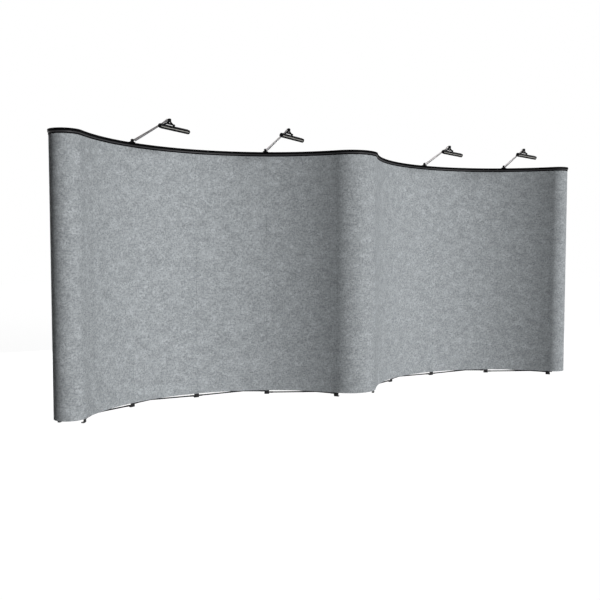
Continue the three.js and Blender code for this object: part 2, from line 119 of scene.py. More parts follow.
CAMERA_PLACE = (-3.8284, -6.2138, 1.2903)
CAMERA_PITCH = 90 - 3.3467
CAMERA_TURN = -28.8037
CAMERA_LENS = 45.595
SENSOR_WIDTH = 36


def stand(name, data, place, turn):
    """A camera or lamp at its place, turned by degrees about X, Y and Z."""
    made = bpy.data.objects.new(name, data)
    made.location, made.rotation_euler = place, [math.radians(angle) for angle in turn]
    bpy.context.scene.collection.objects.link(made)
    return made


def set_camera():
    """The camera stands to the left of the wall at chest height and looks a little down along it."""
    data = bpy.data.cameras.new("camera")
    data.lens, data.sensor_width = CAMERA_LENS, SENSOR_WIDTH
    bpy.context.scene.camera = stand("camera", data, CAMERA_PLACE, (CAMERA_PITCH, 0, CAMERA_TURN))


set_camera()


# ---- shells: each is a closed surface of points, four-sided faces and caps ----

ALONG, THROUGH, UP = np.eye(3)


def shell(points, quads, caps=(), paint=0, uv=None):
    """A shell whose faces point out: they are turned over where the signed volume, a sixth of the sum
    over the faces of corner . (corner x corner), comes out negative."""
    middle = points.mean(0)
    a, b, c, d = (points[quads[:, k]] - middle for k in range(4))
    volume = (a * np.cross(b, c)).sum() + (a * np.cross(c, d)).sum()
    for cap in caps:
        ring = points[cap] - middle
        volume += (ring[0] * np.cross(ring[1:-1], ring[2:]).sum(0)).sum()
    if volume < 0:
        quads = quads[:, ::-1]
        caps = [cap[::-1] for cap in caps]
    paints = np.broadcast_to(paint, len(quads))
    uv = np.zeros((len(points), 2)) if uv is None else uv
    return {"points": points, "quads": quads, "caps": caps, "paints": paints, "uv": uv}


def grid_quads(rows, columns, around=False):
    """Faces between neighbours in a grid of points numbered row by row; around joins the last column
    to the first."""
    i = np.arange(rows - 1)[:, None]
    j = np.arange(columns if around else columns - 1)[None, :]
    right = (j + 1) % columns
    corners = [i * columns + j, i * columns + right, (i + 1) * columns + right, (i + 1) * columns + j]
    return np.stack(np.broadcast_arrays(*corners), -1).reshape(-1, 4)


def tube(rings, paint=0, uv=None):
    """A shell through rings of points [ring, point, xyz], each joined to the next, with flat end caps."""
    count, around = rings.shape[:2]
    caps = [np.arange(around), np.arange(around) + (count - 1) * around]
    return shell(rings.reshape(-1, 3), grid_quads(count, around, True), caps, paint, uv)


def full_turn(sides):
    """Even angles round a full turn."""
    return np.linspace(0, 2 * math.pi, sides, endpoint=False)


def turned(start, direction, stations, radii, sides=16, paint=0):
    """A turned bar: at each station, a distance from start in a direction, a circle of its radius round
    that line, start + s * along + r * (cos t * side + sin t * up). The map runs round and along it."""
    along = np.divide(direction, np.linalg.norm(direction))
    side = np.cross(UP if abs(along[2]) < 0.9 else ALONG, along)
    side /= np.linalg.norm(side)
    up = np.cross(along, side)
    s = np.asarray(stations, float)[:, None, None]
    r = np.asarray(radii, float)[:, None, None]
    t = full_turn(sides)[None, :, None]
    rings = start + s * along + r * (np.cos(t) * side + np.sin(t) * up)
    around = np.broadcast_to(t * radii[len(radii) // 2], (len(stations), sides, 1))
    uv = np.concatenate([around, np.broadcast_to(s, around.shape)], 2).reshape(-1, 2)
    return tube(rings, paint, uv)


def rounded(outline, radius, steps=3):
    """A closed outline with each corner P cut back by the radius and bridged by the curve
    (1 - s)^2 A + 2 s (1 - s) P + s^2 B, where A and B are the cut ends."""
    corner = np.asarray(outline, float)
    ahead = np.roll(corner, -1, 0) - corner
    behind = np.roll(corner, 1, 0) - corner
    ahead_run, behind_run = (np.linalg.norm(side, axis=1)[:, None] for side in (ahead, behind))
    radius = np.broadcast_to(radius, len(corner))[:, None]
    cut = np.minimum(radius, np.minimum(ahead_run, behind_run) * 0.49)
    a, b = corner + cut * behind / behind_run, corner + cut * ahead / ahead_run
    s = np.linspace(0, 1, steps + 1)[None, :, None]
    curve = (1 - s) ** 2 * a[:, None] + 2 * s * (1 - s) * corner[:, None] + s**2 * b[:, None]
    return curve.reshape(-1, 2)


def rectangle(left, low, right, high, radius, steps=3):
    """A rounded rectangle's outline."""
    return rounded([(left, low), (right, low), (right, high), (left, high)], radius, steps)


def both_sides(half, mirror):
    """Half an outline, run on by its mirror image; mirror is (-1, 1) or (1, -1)."""
    return np.concatenate([half, np.array(half)[::-1] * mirror])


def carried(profile, start, end, side, up, inset=0.0, paint=0):
    """A profile of (side, up) distances carried straight from start to end, shrunk a little towards
    its middle at both ends so that the ends' edges are broken: point = place + s * side + u * up."""
    run, middle = np.subtract(end, start), profile.mean(0)
    share, size = np.array([0, 1.0]), np.ones(2)
    if inset:
        broken = inset / np.linalg.norm(run)
        small = 1 - inset / np.abs(profile - middle).max()
        share, size = np.array([0, broken, 1 - broken, 1]), np.array([small, 1, 1, small])
    drawn = middle + size[:, None, None] * (profile - middle)
    places = start + share[:, None] * run
    return tube(places[:, None] + drawn[..., :1] * side + drawn[..., 1:] * up, paint)


def straight(profile, axis, start, stop, inset=0.0, paint=0):
    """A profile carried along one of the three axes between two distances on it. The profile's own
    two directions are the other two axes."""
    side, up = np.eye(3)[axis == 0]
    return carried(profile, start * axis, stop * axis, side, up, inset, paint)


def moved(shells, axes, shift):
    """Shells with every point turned by a 3 x 3 array of axes (rows) and shifted."""
    return [{**one, "points": one["points"] @ axes + shift} for one in shells]


def on_line(shells, name, angle):
    """Shells made in the plane x = 0, with y the distance from the bay's centre, turned to an angle
    about that centre."""
    c, s = math.cos(angle), math.sin(angle)
    return moved(shells, np.array([[c, -s, 0], [s, c, 0], UP]), (*bay_centre(name), 0))


SMOOTH_BELOW = math.radians(35)
BEVEL_ABOVE = math.radians(40)


def piece(name, shells, materials, body="root", node=None, bevel=0.0):
    """One object from shells, with its map in metres: smooth where its faces meet at a low angle, and
    with an even bevel on its sharp edges where it has one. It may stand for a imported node."""
    offsets = np.cumsum([0] + [len(one["points"]) for one in shells])
    faces, paints = [], []
    for one, offset in zip(shells, offsets):
        faces += (one["quads"] + offset).tolist() + [(cap + offset).tolist() for cap in one["caps"]]
        paints += one["paints"].tolist() + [int(one["paints"][0])] * len(one["caps"])
    mesh = bpy.data.meshes.new(name)
    mesh.from_pydata(np.concatenate([one["points"] for one in shells]).tolist(), [], faces)
    mesh.polygons.foreach_set("material_index", paints)
    mesh.polygons.foreach_set("use_smooth", np.ones(len(faces), bool))
    mesh.set_sharp_from_angle(angle=SMOOTH_BELOW)
    corners = np.empty(len(mesh.loops), np.int32)
    mesh.loops.foreach_get("vertex_index", corners)
    uv = np.concatenate([one["uv"] for one in shells])[corners]
    mesh.uv_layers.new(name="face_map").data.foreach_set("uv", uv.astype(np.float32).ravel())
    for material in materials:
        mesh.materials.append(material)
    made = bpy.data.objects.new(name, mesh)
    bpy.context.scene.collection.objects.link(made)
    if bevel:
        edge = made.modifiers.new("broken_edges", "BEVEL")
        edge.width, edge.segments, edge.limit_method, edge.angle_limit = bevel, 2, "ANGLE", BEVEL_ABOVE
    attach(made, body)
    if node:
        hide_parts(node)
    return made


# ---- the wall's face in plan ----

ARC_STEP = 0.004


def arc(centre, radius, start, stop, into):
    """Places on an arc, centre + r (sin a, cos a), a small step apart, and the directions into the
    wall behind them; into is 1 where the wall lies outside the arc and -1 where it lies inside."""
    count = max(2, int(abs(stop - start) * radius / ARC_STEP) + 1)
    angle = np.linspace(start, stop, count)
    out = np.stack([np.sin(angle), np.cos(angle)], 1)
    return centre + radius * out, into * out


def run_on(*arcs):
    """Arcs joined end to end: their places, their directions, and the distance run along them."""
    places, into = (np.concatenate([arcs[0][k][:1]] + [one[k][1:] for one in arcs]) for k in (0, 1))
    steps = np.linalg.norm(np.diff(places, axis=0), axis=1)
    return places, into, np.concatenate([[0], np.cumsum(steps)])


def bay_face(name, start, stop):
    """A stretch of one bay's face between two angles."""
    return run_on(arc(bay_centre(name), BAY_RADIUS, start, stop, 1))


def bulge_face():
    """From the left bay's last hub line, round the middle bulge, to the right bay's first one."""
    left, right = bay_centre("left"), bay_centre("right")
    radius = (right[0] - left[0]) / 2 / math.sin(BAY_HALF_ANGLE) - BAY_RADIUS
    middle = [0, left[1] + (BAY_RADIUS + radius) * math.cos(BAY_HALF_ANGLE)]
    near = LAST_HUB_ANGLE + SEAM_ANGLE
    return run_on(
        arc(left, BAY_RADIUS, near, BAY_HALF_ANGLE, 1),
        arc(middle, radius, math.pi + BAY_HALF_ANGLE, math.pi - BAY_HALF_ANGLE, -1),
        arc(right, BAY_RADIUS, -BAY_HALF_ANGLE, -near, 1),
    )


def roll_face(name):
    """From a bay's outer hub line, round the frame's end, to the same line behind it."""
    side = outer_side(name)
    centre = bay_centre(name)
    near, far = side * (LAST_HUB_ANGLE + SEAM_ANGLE), side * BAY_HALF_ANGLE
    middle = centre + (BAY_RADIUS + ROLL_RADIUS) * np.array([math.sin(far), math.cos(far)])
    return run_on(
        arc(centre, BAY_RADIUS, near, far, 1),
        arc(middle, ROLL_RADIUS, far + math.pi, far + math.pi - side * math.pi, -1),
        arc(centre, BAY_RADIUS + 2 * ROLL_RADIUS, far, near, -1),
    )


def outer_side(name):
    """-1 for the left bay, whose free end is to the left, and 1 for the right one."""
    return -1 if name == "left" else 1


def sampled(face, step, edge):
    """The face's places and directions at even steps, with one more close to each end."""
    places, into, run = face
    count = max(2, round(run[-1] / step))
    at = np.concatenate([[0, edge], np.linspace(edge, run[-1] - edge, count + 1)[1:], [run[-1]]])
    pick = lambda values: np.stack([np.interp(at, run, values[:, k]) for k in range(2)], 1)
    return pick(places), pick(into), at


# ---- fabric panels ----

FABRIC_EDGE = 0.0004
FABRIC_ROWS = 40
FLAT_STEP, BULGE_STEP, ROLL_STEP = 0.022, 0.012, 0.007
PANEL_SWELL = 0.0011
BULGE_SEED = 3
STRIP_HEIGHT = 0.032
STRIP_THICKNESS = 0.0022
STRIP_DEPTH = PANEL_THICKNESS + 0.0001
FOOT_STRIP_RISE = 0.006
HEAD_STRIP_DROP = 0.002


def swell(across, up, seed):
    """How far a hung panel stands out between its held edges: a bow across it, sin^2(pi a), times a
    slow wave up it, whose phase the seed sets."""
    wave = 0.55 + 0.45 * np.sin(2 * math.pi * (1.3 * up + 0.37 * seed)) * np.cos(3.1 * up + seed)
    return PANEL_SWELL * np.sin(math.pi * across) ** 2 * wave


def slab(face, low, high, thickness, step, seed=0, start=0.0, depth=0.0):
    """A sheet that follows the face between two heights. The front is place + depth * into, the back
    lies a thickness behind it, and the rim is broken: at the border both sheets draw in by an edge.
    The map begins at start; a sheet with a seed swells between its edges."""
    places, into, at = sampled(face, step, FABRIC_EDGE)
    inner = np.linspace(low + FABRIC_EDGE, high - FABRIC_EDGE, FABRIC_ROWS)
    heights = np.concatenate([[low], inner, [high]])
    rows, columns = len(heights), len(at)
    drawn = np.zeros((rows, columns))
    drawn[[0, -1]] = drawn[:, [0, -1]] = FABRIC_EDGE
    across, up = at / at[-1], (heights - low) / (high - low)
    out = swell(across[None, :], up[:, None], seed) if seed else 0 * drawn
    sheets = []
    for distance in (depth + drawn - out, depth + thickness - drawn - out):
        plan = places[None] + distance[..., None] * into[None]
        level = np.broadcast_to(heights[:, None, None], (rows, columns, 1))
        sheets.append(np.concatenate([plan, level], 2).reshape(-1, 3))
    flat = grid_quads(rows, columns)
    count = rows * columns
    n = np.arange(count).reshape(rows, columns)
    rim = np.concatenate([n[0, :-1], n[:-1, -1], n[-1, :0:-1], n[:0:-1, 0]])
    after = np.roll(rim, -1)
    ring = np.stack([rim, rim + count, after + count, after], 1)
    quads = np.concatenate([flat, flat[:, ::-1] + count, ring])
    paint = np.repeat([0, 1, 0], [len(flat), len(flat), len(ring)])
    uv = np.stack(np.broadcast_arrays(start + at[None, :], heights[:, None]), 2).reshape(-1, 2)
    return shell(np.concatenate(sheets), quads, (), paint, np.concatenate([uv, uv]))


def stiffeners(face, step):
    """Plastic strips welded across a panel's back, one along its head and one along its foot."""
    places, into, run = face
    inside = (run > BAR_WIDTH) & (run < run[-1] - BAR_WIDTH)
    short = (places[inside], into[inside], run[inside] - run[inside][0])
    feet = (HEM_HEIGHT + FOOT_STRIP_RISE, BAR_TOP - STRIP_HEIGHT - HEAD_STRIP_DROP)
    return [slab(short, low, low + STRIP_HEIGHT, STRIP_THICKNESS, step, depth=STRIP_DEPTH) for low in feet]


def fabric_sheet(name, face, step, seed, start, node, extra=()):
    """One panel: loop fabric on a thin plastic backing, with its stiffening strips on it. A rolled
    panel has its edge strip too."""
    sheet = slab(face, HEM_HEIGHT, PANEL_TOP, PANEL_THICKNESS, step, seed, start)
    made = piece(name, [sheet, *extra], [loop_fabric, panel_backing], node=node)
    strips = piece(f"{name}_strips", stiffeners(face, step), [strip_plastic])


def edge_strip(name):
    """The stiff strip behind a rolled end panel's free edge, which seats on the rear hubs."""
    side = outer_side(name)
    inner = REAR_HUB_RADIUS + HUB_OUTER_DEPTH + GAP
    profile = rectangle(0, inner, side * BAR_WIDTH / 2, inner + BAR_DEPTH, [0.001, 0.003, 0.003, 0.001])
    strip = straight(profile, UP, BAR_FOOT, BAR_TOP, 0.001, paint=1)
    return on_line([strip], name, side * LAST_HUB_ANGLE)


def end_panel(name, face, start):
    """The panel that rolls round a bay's free end, with its edge strip."""
    node, strip = f"{name}_end_panel", edge_strip(name)
    fabric_sheet(f"{name}_end_fabric", face, ROLL_STEP, 0, start, node, strip)


def dress_wall():
    """Hangs every panel, with the cloth's map running on from one to the next along the whole wall."""
    roll = roll_face("left")
    end_panel("left", roll, -roll[2][-1])
    run = 0.0
    for name, seed in (("left", 1), ("right", BULGE_SEED)):
        if name == "right":
            face = bulge_face()
            fabric_sheet("centre_fabric", face, BULGE_STEP, BULGE_SEED, run, "centre_panel")
            run += face[2][-1]
        for quad in range(QUADS_ACROSS):
            face = bay_face(name, line_angle(quad) + SEAM_ANGLE, line_angle(quad + 1) - SEAM_ANGLE)
            node = nearest(name, "panel", QUADS_ACROSS, line_angle(quad + 0.5))
            wave = QUADS_ACROSS - quad + seed
            fabric_sheet(f"{name}_fabric_{quad + 1}", face, FLAT_STEP, wave, run, node)
            run += face[2][-1]
    end_panel("right", roll_face("right"), run)


# ---- header rails ----

HEADER_STEP = 0.018
HEADER_BEND_STEP = 0.006
HEADER_END_EDGE = 0.001
BAND_FOOT = 0.0142
GROOVE_DEPTH = 0.0012
GROOVE_SLOPE = 0.0015
BACK_GROOVE_HEIGHT = 0.007
BACK_GROOVE_FEET = (0.011, 0.029)


def header_profile():
    """The rail's section as (depth behind the face, height above its foot), and its corners' radii: two
    shallow grooves behind, a flat top, a rounded lip with a groove along it, a band set back below it
    that is painted a lighter grey as a painted sheen, a groove, and a rebate at the foot for the panels' top
    edges."""
    front, lip = -HEADER_FRONT, -HEADER_FRONT - HEADER_LIP_DEPTH
    top, shelf = HEADER_HEIGHT, HEADER_HEIGHT - HEADER_LIP_HEIGHT
    sunk = HEADER_BACK - GROOVE_DEPTH
    outline = [(HEADER_BACK, 0)]
    for low in BACK_GROOVE_FEET:
        high = low + BACK_GROOVE_HEIGHT
        outline += [(HEADER_BACK, low), (sunk, low + GROOVE_SLOPE), (sunk, high - GROOVE_SLOPE)]
        outline += [(HEADER_BACK, high)]
    outline += [
        (HEADER_BACK, top), (lip, top), (lip, top - 0.0085), (lip + GROOVE_DEPTH, top - 0.0095),
        (lip + GROOVE_DEPTH, shelf + GROOVE_SLOPE), (lip, shelf), (front, shelf), (front, BAND_FOOT),
        (front + GROOVE_DEPTH, BAND_FOOT - 0.0006), (front + GROOVE_DEPTH, REBATE_HEIGHT + 0.0040),
        (front, REBATE_HEIGHT + 0.0034), (front, REBATE_HEIGHT), (REBATE_DEPTH, REBATE_HEIGHT),
        (REBATE_DEPTH, 0),
    ]
    larger = {(HEADER_BACK, top): 0.0015, (lip, top): 0.0030}
    return outline, [larger.get(corner, 0.0008) for corner in outline]


def header_rail(name, face, step, node):
    """The rail: its section carried along the wall's face, place + depth * into + height."""
    section = rounded(*header_profile(), 2)
    places, into, at = sampled(face, step, HEADER_END_EDGE)
    depth, height = section.T
    plan = places[:, None] + depth[None, :, None] * into[:, None]
    level = np.broadcast_to(HEADER_FOOT + height[None, :, None], (*plan.shape[:2], 1))
    middle_depth, middle = ((one + np.roll(one, -1)) / 2 for one in (depth, height))
    front = np.abs(middle_depth + HEADER_FRONT) < 0.0002
    # The set-back face under the lip takes the lighter grey material: a painted sheen, on a finish that is
    # also glossier.
    band = front & (middle > BAND_FOOT) & (middle < HEADER_HEIGHT - HEADER_LIP_HEIGHT)
    uv = np.stack(np.broadcast_arrays(at[:, None], height[None, :]), 2).reshape(-1, 2)
    rail = tube(np.concatenate([plan, level], 2), np.tile(band.astype(int), len(at) - 1), uv)
    piece(name, [rail], [header_black, header_band], node=node)


def fit_headers():
    """One rail along each bay, one round the bulge and one round each end."""
    for name in ("left", "right"):
        reach = LAST_HUB_ANGLE - SEAM_ANGLE
        header_rail(f"{name}_header_rail", bay_face(name, -reach, reach), HEADER_STEP, f"{name}_header")
        header_rail(f"{name}_end_rail", roll_face(name), HEADER_BEND_STEP, f"{name}_end_header")
    header_rail("centre_rail", bulge_face(), HEADER_BEND_STEP, "centre_header")


# ---- channel bars ----

CHANNEL_WALL = 0.0022
CHANNEL_MOUTH = 0.007  # half the gap between the lips behind
TAPE_HALF_WIDTH = 0.010
TAPE_DEPTH = 0.0008
TAPE_END = 0.01
TAPE_PROUD = 0.0001


def channel_bar(name, line):
    """A channel bar: a flat front with a sunk magnet strip and an open channel behind, carried up."""
    near = BAY_RADIUS + PANEL_THICKNESS + GAP
    back, half, sunk = near + BAR_DEPTH, BAR_WIDTH / 2, near + TAPE_DEPTH
    inner, lip, floor = half - CHANNEL_WALL, back - CHANNEL_WALL, near + CHANNEL_WALL
    right = [
        (TAPE_HALF_WIDTH, sunk), (TAPE_HALF_WIDTH, near), (half, near), (half, back),
        (CHANNEL_MOUTH, back), (CHANNEL_MOUTH, lip), (inner, lip), (inner, floor),
    ]
    radii = [0.0002, 0.0002, 0.0009, 0.0009] + [0.0004] * 4
    section = rounded(both_sides(right, (-1, 1)), radii + radii[::-1], 2)
    tape = rectangle(-TAPE_HALF_WIDTH, near + TAPE_PROUD, TAPE_HALF_WIDTH, sunk, 0.0002)
    bar = straight(section, UP, BAR_FOOT, BAR_TOP)
    magnet = straight(tape, UP, BAR_FOOT + TAPE_END, BAR_TOP - TAPE_END, paint=1)
    angle = line_angle(line)
    node = nearest(name, "channel_bar", QUADS_ACROSS + 1, angle)
    shells = on_line([bar, magnet], name, angle)
    piece(f"{name}_bar_{line + 1}", shells, [bar_black, magnet_strip], node=node)


# ---- the folding frame ----

HUB_EDGE = 0.0016
COLLAR_RADIUS = 0.0074
COLLAR_START, COLLAR_END = 0.026, 0.060
ROD_SIDES = 16
SCREW_CAP_RADIUS = 0.0125
SCREW_CAP_RISE = 0.0016
PIN_HEAD_RADIUS = 0.0026
PIN_HEAD_SETBACK = 0.0045
PIVOT_PIN_RADIUS = 0.003


def hub_section():
    """A hub's section as (depth from its centre towards the frame's inside, height): two caps joined
    by a thin outer wall, so that the slot between them is open to the inside and both sides."""
    wall = -LINK_OUTER_DEPTH - GAP
    lower = [
        (-HUB_OUTER_DEPTH, -HUB_HALF_HEIGHT), (HUB_INNER_DEPTH, -HUB_HALF_HEIGHT),
        (HUB_INNER_DEPTH, -SLOT_HALF_HEIGHT), (wall, -SLOT_HALF_HEIGHT),
    ]
    radii = [0.003, 0.003, 0.0012, 0.001]
    return rounded(both_sides(lower, (1, -1)), radii + radii[::-1])


def hub(radius, height, side, capped, pins):
    """A moulded hub, its section carried across its width, with a screw cap behind and pin heads."""
    half, out = HUB_WIDTH / 2, np.array([0, -side, 0])
    ends = (-half, radius, height), (half, radius, height)
    shells = [carried(hub_section(), *ends, -out, UP, HUB_EDGE)]
    if capped:
        face = (0, radius - side * HUB_OUTER_DEPTH, height)
        stations = [-0.001, 0, 0.0007, SCREW_CAP_RISE, SCREW_CAP_RISE, 0.0008]
        radii = SCREW_CAP_RADIUS * np.array([1, 1, 0.97, 0.82, 0.42, 0.34])
        shells.append(turned(face, out, stations, radii, 20))
        shells.append(turned(face, out, [0.0003, 0.0009, 0.0013], [0.0041, 0.0041, 0.0030], 12, 1))
    for level in pins:
        foot = (0, radius - side * PIN_HEAD_SETBACK, height + level * (HUB_HALF_HEIGHT - 0.0004))
        radii = PIN_HEAD_RADIUS * np.array([1, 1, 0.6])
        shells.append(turned(foot, level * UP, [0, 0.0009, 0.0013], radii, 10, 1))
    return shells


def hub_line(name, line):
    """One hub line: front and rear hubs at each level. The line where the rolled panel's edge strip
    seats has no screw caps."""
    seat = 0 if name == "left" else QUADS_ACROSS
    shells = []
    for level in range(QUADS_UP + 1):
        height = HUB_HALF_HEIGHT + level * QUAD_HEIGHT
        pins = [1] if level == 0 else [-1, 1]
        shells += hub(FRONT_HUB_RADIUS, height, 1, False, pins)
        shells += hub(REAR_HUB_RADIUS, height, -1, line != seat, pins)
    node = nearest(name, "frame_column", QUADS_ACROSS + 1, line_angle(line))
    placed = on_line(shells, name, line_angle(line))
    piece(f"{name}_hubs_{line + 1}", placed, [hub_black, pin_steel], node=node)
    return node


def frame_rod(start, end):
    """A frame rod with a moulded collar near each end, and ends rounded off inside the hubs."""
    run = np.subtract(end, start)
    length, collar = float(np.linalg.norm(run)), COLLAR_RADIUS / ROD_RADIUS
    head = [0, 0.0012, 0.0035, COLLAR_START, COLLAR_START + 0.001, COLLAR_END - 0.0015, COLLAR_END]
    wide = [0.55, 0.85, 1, 1, collar, collar, 1]
    stations = head + [length - s for s in reversed(head)]
    paint = [0, 0, 0, 1, 1, 1, 0]
    paint = np.repeat(paint + paint[-2::-1], ROD_SIDES)
    return turned(start, run, stations, ROD_RADIUS * np.array(wide + wide[::-1]), ROD_SIDES, paint)


def crossed_pair(one, other, foot, head):
    """Two rods that cross, each given by its ends, and the domed rivet through them."""
    run = np.subtract(head, foot)
    length = float(np.linalg.norm(run))
    rise, wide = [0.0022, 0.0016, 0.0003, 0], [0.0018, 0.0034, 0.0042, 0.0025]
    stations = [-s for s in rise] + [length + s for s in reversed(rise)]
    rivet = turned(foot, run, stations, wide + wide[::-1], 12, 2)
    return [frame_rod(*one), frame_rod(*other), rivet]


def rod_piece(name, shells, node):
    """Rods with their collars, rivets and pins, as one piece."""
    piece(name, shells, [rod_fibre, hub_black, pin_steel], node=node)


def upright_rods(name, line, node):
    """The crossed pairs between a hub line's levels, which lie side by side and end in the hubs' caps."""
    seat = SLOT_HALF_HEIGHT + HUB_CAP_HEIGHT / 2
    shift = FRAME_DEPTH * seat / QUAD_HEIGHT
    front, rear = FRONT_HUB_RADIUS + shift, REAR_HUB_RADIUS - shift
    aside, reach = ROD_OFFSET, ROD_OFFSET + ROD_RADIUS
    shells = []
    for level in range(QUADS_UP):
        foot = HUB_HALF_HEIGHT + level * QUAD_HEIGHT
        low, high, middle = foot + seat, foot + QUAD_HEIGHT - seat, foot + QUAD_HEIGHT / 2
        one = (aside, front, low), (aside, rear, high)
        other = (-aside, rear, low), (-aside, front, high)
        centre = (front + rear) / 2
        shells += crossed_pair(one, other, (-reach, centre, middle), (reach, centre, middle))
    rod_piece(f"{name}_upright_rods_{line + 1}", on_line(shells, name, line_angle(line)), node)


def level_rods(name, level):
    """The crossed pairs of one level, and the pivot pins that hold them in the hubs' slots."""
    centre, height = bay_centre(name), HUB_HALF_HEIGHT + level * QUAD_HEIGHT

    def at(radius, line, rise):
        """A place on a hub line's plane, centre + r (sin a, cos a), a rise above the level."""
        angle = line_angle(line)
        return centre[0] + radius * math.sin(angle), centre[1] + radius * math.cos(angle), height + rise

    front, rear, reach = FRONT_HUB_RADIUS, REAR_HUB_RADIUS, ROD_OFFSET + ROD_RADIUS
    crossing = 2 * front * rear * math.cos(QUAD_ANGLE / 2) / (front + rear)
    shells = []
    for quad in range(QUADS_ACROSS):
        rise = ROD_OFFSET if quad + 0.5 < QUADS_ACROSS / 2 else -ROD_OFFSET
        one = at(front, quad, rise), at(rear, quad + 1, rise)
        other = at(rear, quad, -rise), at(front, quad + 1, -rise)
        middle = quad + 0.5
        shells += crossed_pair(one, other, at(crossing, middle, -reach), at(crossing, middle, reach))
    for line in range(QUADS_ACROSS + 1):
        for radius in (front, rear):
            foot = at(radius, line, -LINK_HALF_HEIGHT)
            shells.append(turned(foot, UP, [0, 2 * LINK_HALF_HEIGHT], [PIVOT_PIN_RADIUS] * 2, 12, 2))
    rod_piece(f"{name}_level_rods_{level + 1}", shells, f"{name}_frame_row_{level + 1}")


def build_frames():
    """Both frames: hub lines with their upright rods and channel bars, and the level rods."""
    for name in ("left", "right"):
        for line in range(QUADS_ACROSS + 1):
            node = hub_line(name, line)
            upright_rods(name, line, node)
            channel_bar(name, line)
        for level in range(QUADS_UP + 1):
            level_rods(name, level)


# ---- the lights ----

EYE_HALF_HEIGHT = 0.006
EYE_RADIUS = 0.014
EYE_BORE = 0.0067
PIVOT_RADIUS = 0.006
PIVOT_CAP_RADIUS = 0.010
PIVOT_CAP_HEIGHT = 0.0042
ARM_RADIUS = 0.007
TANG_START = 0.0085
TANG_LENGTH = 0.028
TUBE_START = 0.021
NECK_START = 0.0155
NECK_LENGTH = 0.075
NECK_HALF_WIDTH = 0.0042
CLAMP_HALF_WIDTH = 0.025
CLAMP_THICKNESS = 0.006
CLAMP_BEVEL = 0.0006
JAW_THICKNESS = 0.009
JAW_DROP = 0.040
BOSS_HEIGHT = 0.008
POST_HEIGHT = 0.0130
RIB_PITCH = 0.008
RIB_HALF_WIDTH = 0.0015
WEDGE_HALF_DEPTH = 0.0095
KNOB_START = 0.008
KNOB_LOBES = 8
HINGE_DEPTH = 0.0353
KNUCKLE_HEIGHT = 0.009
YOKE_HALF_WIDTH = 0.050
YOKE_THICKNESS = 0.006
YOKE_LEG_WIDTH = 0.012
HINGE_RADIUS = 0.004
HINGE_HALF_LENGTH = 0.066
NUT_LENGTH = 0.004
BARREL_LENGTH = 0.008
EAR_PLACE = 0.058
EAR_WIDTH = 0.007
EAR_RADIUS = 0.0075
LAMP_LENGTH = 0.380
LAMP_HEIGHT = 0.036
LAMP_DEPTH = 0.030
LAMP_HINGE_HEIGHT = 0.009
LAMP_OFFSET = 0.075
LAMP_TILT = math.radians(25)
WINDOW_MARGIN = 0.0134
WINDOW_DEPTH = 0.0045
FIN_COUNT = 25
FIN_SPREAD = 0.40  # of the lamp's length, each way
FIN_HALF_HEIGHT = 0.0085
FIN_HALF_WIDTH = 0.001
DIVIDER_OFFSET = 0.018
DIVIDER_HALF_WIDTH = 0.0016


def joint(number, motion):
    """The place and axis of one of a light's joints."""
    found = next(one for one in frame["joints"] if one["name"] == f"light_{number}_{motion}")
    return np.array(found["pos_m"], float), np.array(found["axis"], float)


def backed(back):
    """Upright axes as rows, along, back and up, for a part whose back points that way in plan."""
    x, y = back / np.linalg.norm(back)
    return np.array([[y, -x, 0], [x, y, 0], UP])


def light_places(number):
    """Where one light's parts stand: (axes, origin) of its clamp, arm, yoke and lamp."""
    swing, _ = joint(number, "arm_swing")
    turn, _ = joint(number, "lamp_turn")
    tilt, bar = joint(number, "lamp_tilt")
    clamp_axes = backed(swing[:2] - bay_centre("left" if swing[0] < 0 else "right"))
    yoke_axes = backed(np.array([-bar[1], bar[0]]))
    c, s = math.cos(LAMP_TILT), math.sin(LAMP_TILT)
    lamp_axes = np.array([ALONG, [0, c, s], [0, -s, c]]) @ yoke_axes
    return (clamp_axes, swing), (backed(swing[:2] - turn[:2]), swing), (yoke_axes, turn), (lamp_axes, tilt)


def pivot_cap():
    """The low dome that closes an arm's eye from above."""
    stations = np.array([0, 0.55, 0.8, 0.95, 1]) * PIVOT_CAP_HEIGHT
    radii = np.array([1, 1, 0.88, 0.62, 0.25]) * PIVOT_CAP_RADIUS
    return turned((0, 0, EYE_HALF_HEIGHT + GAP), UP, stations, radii, 24)


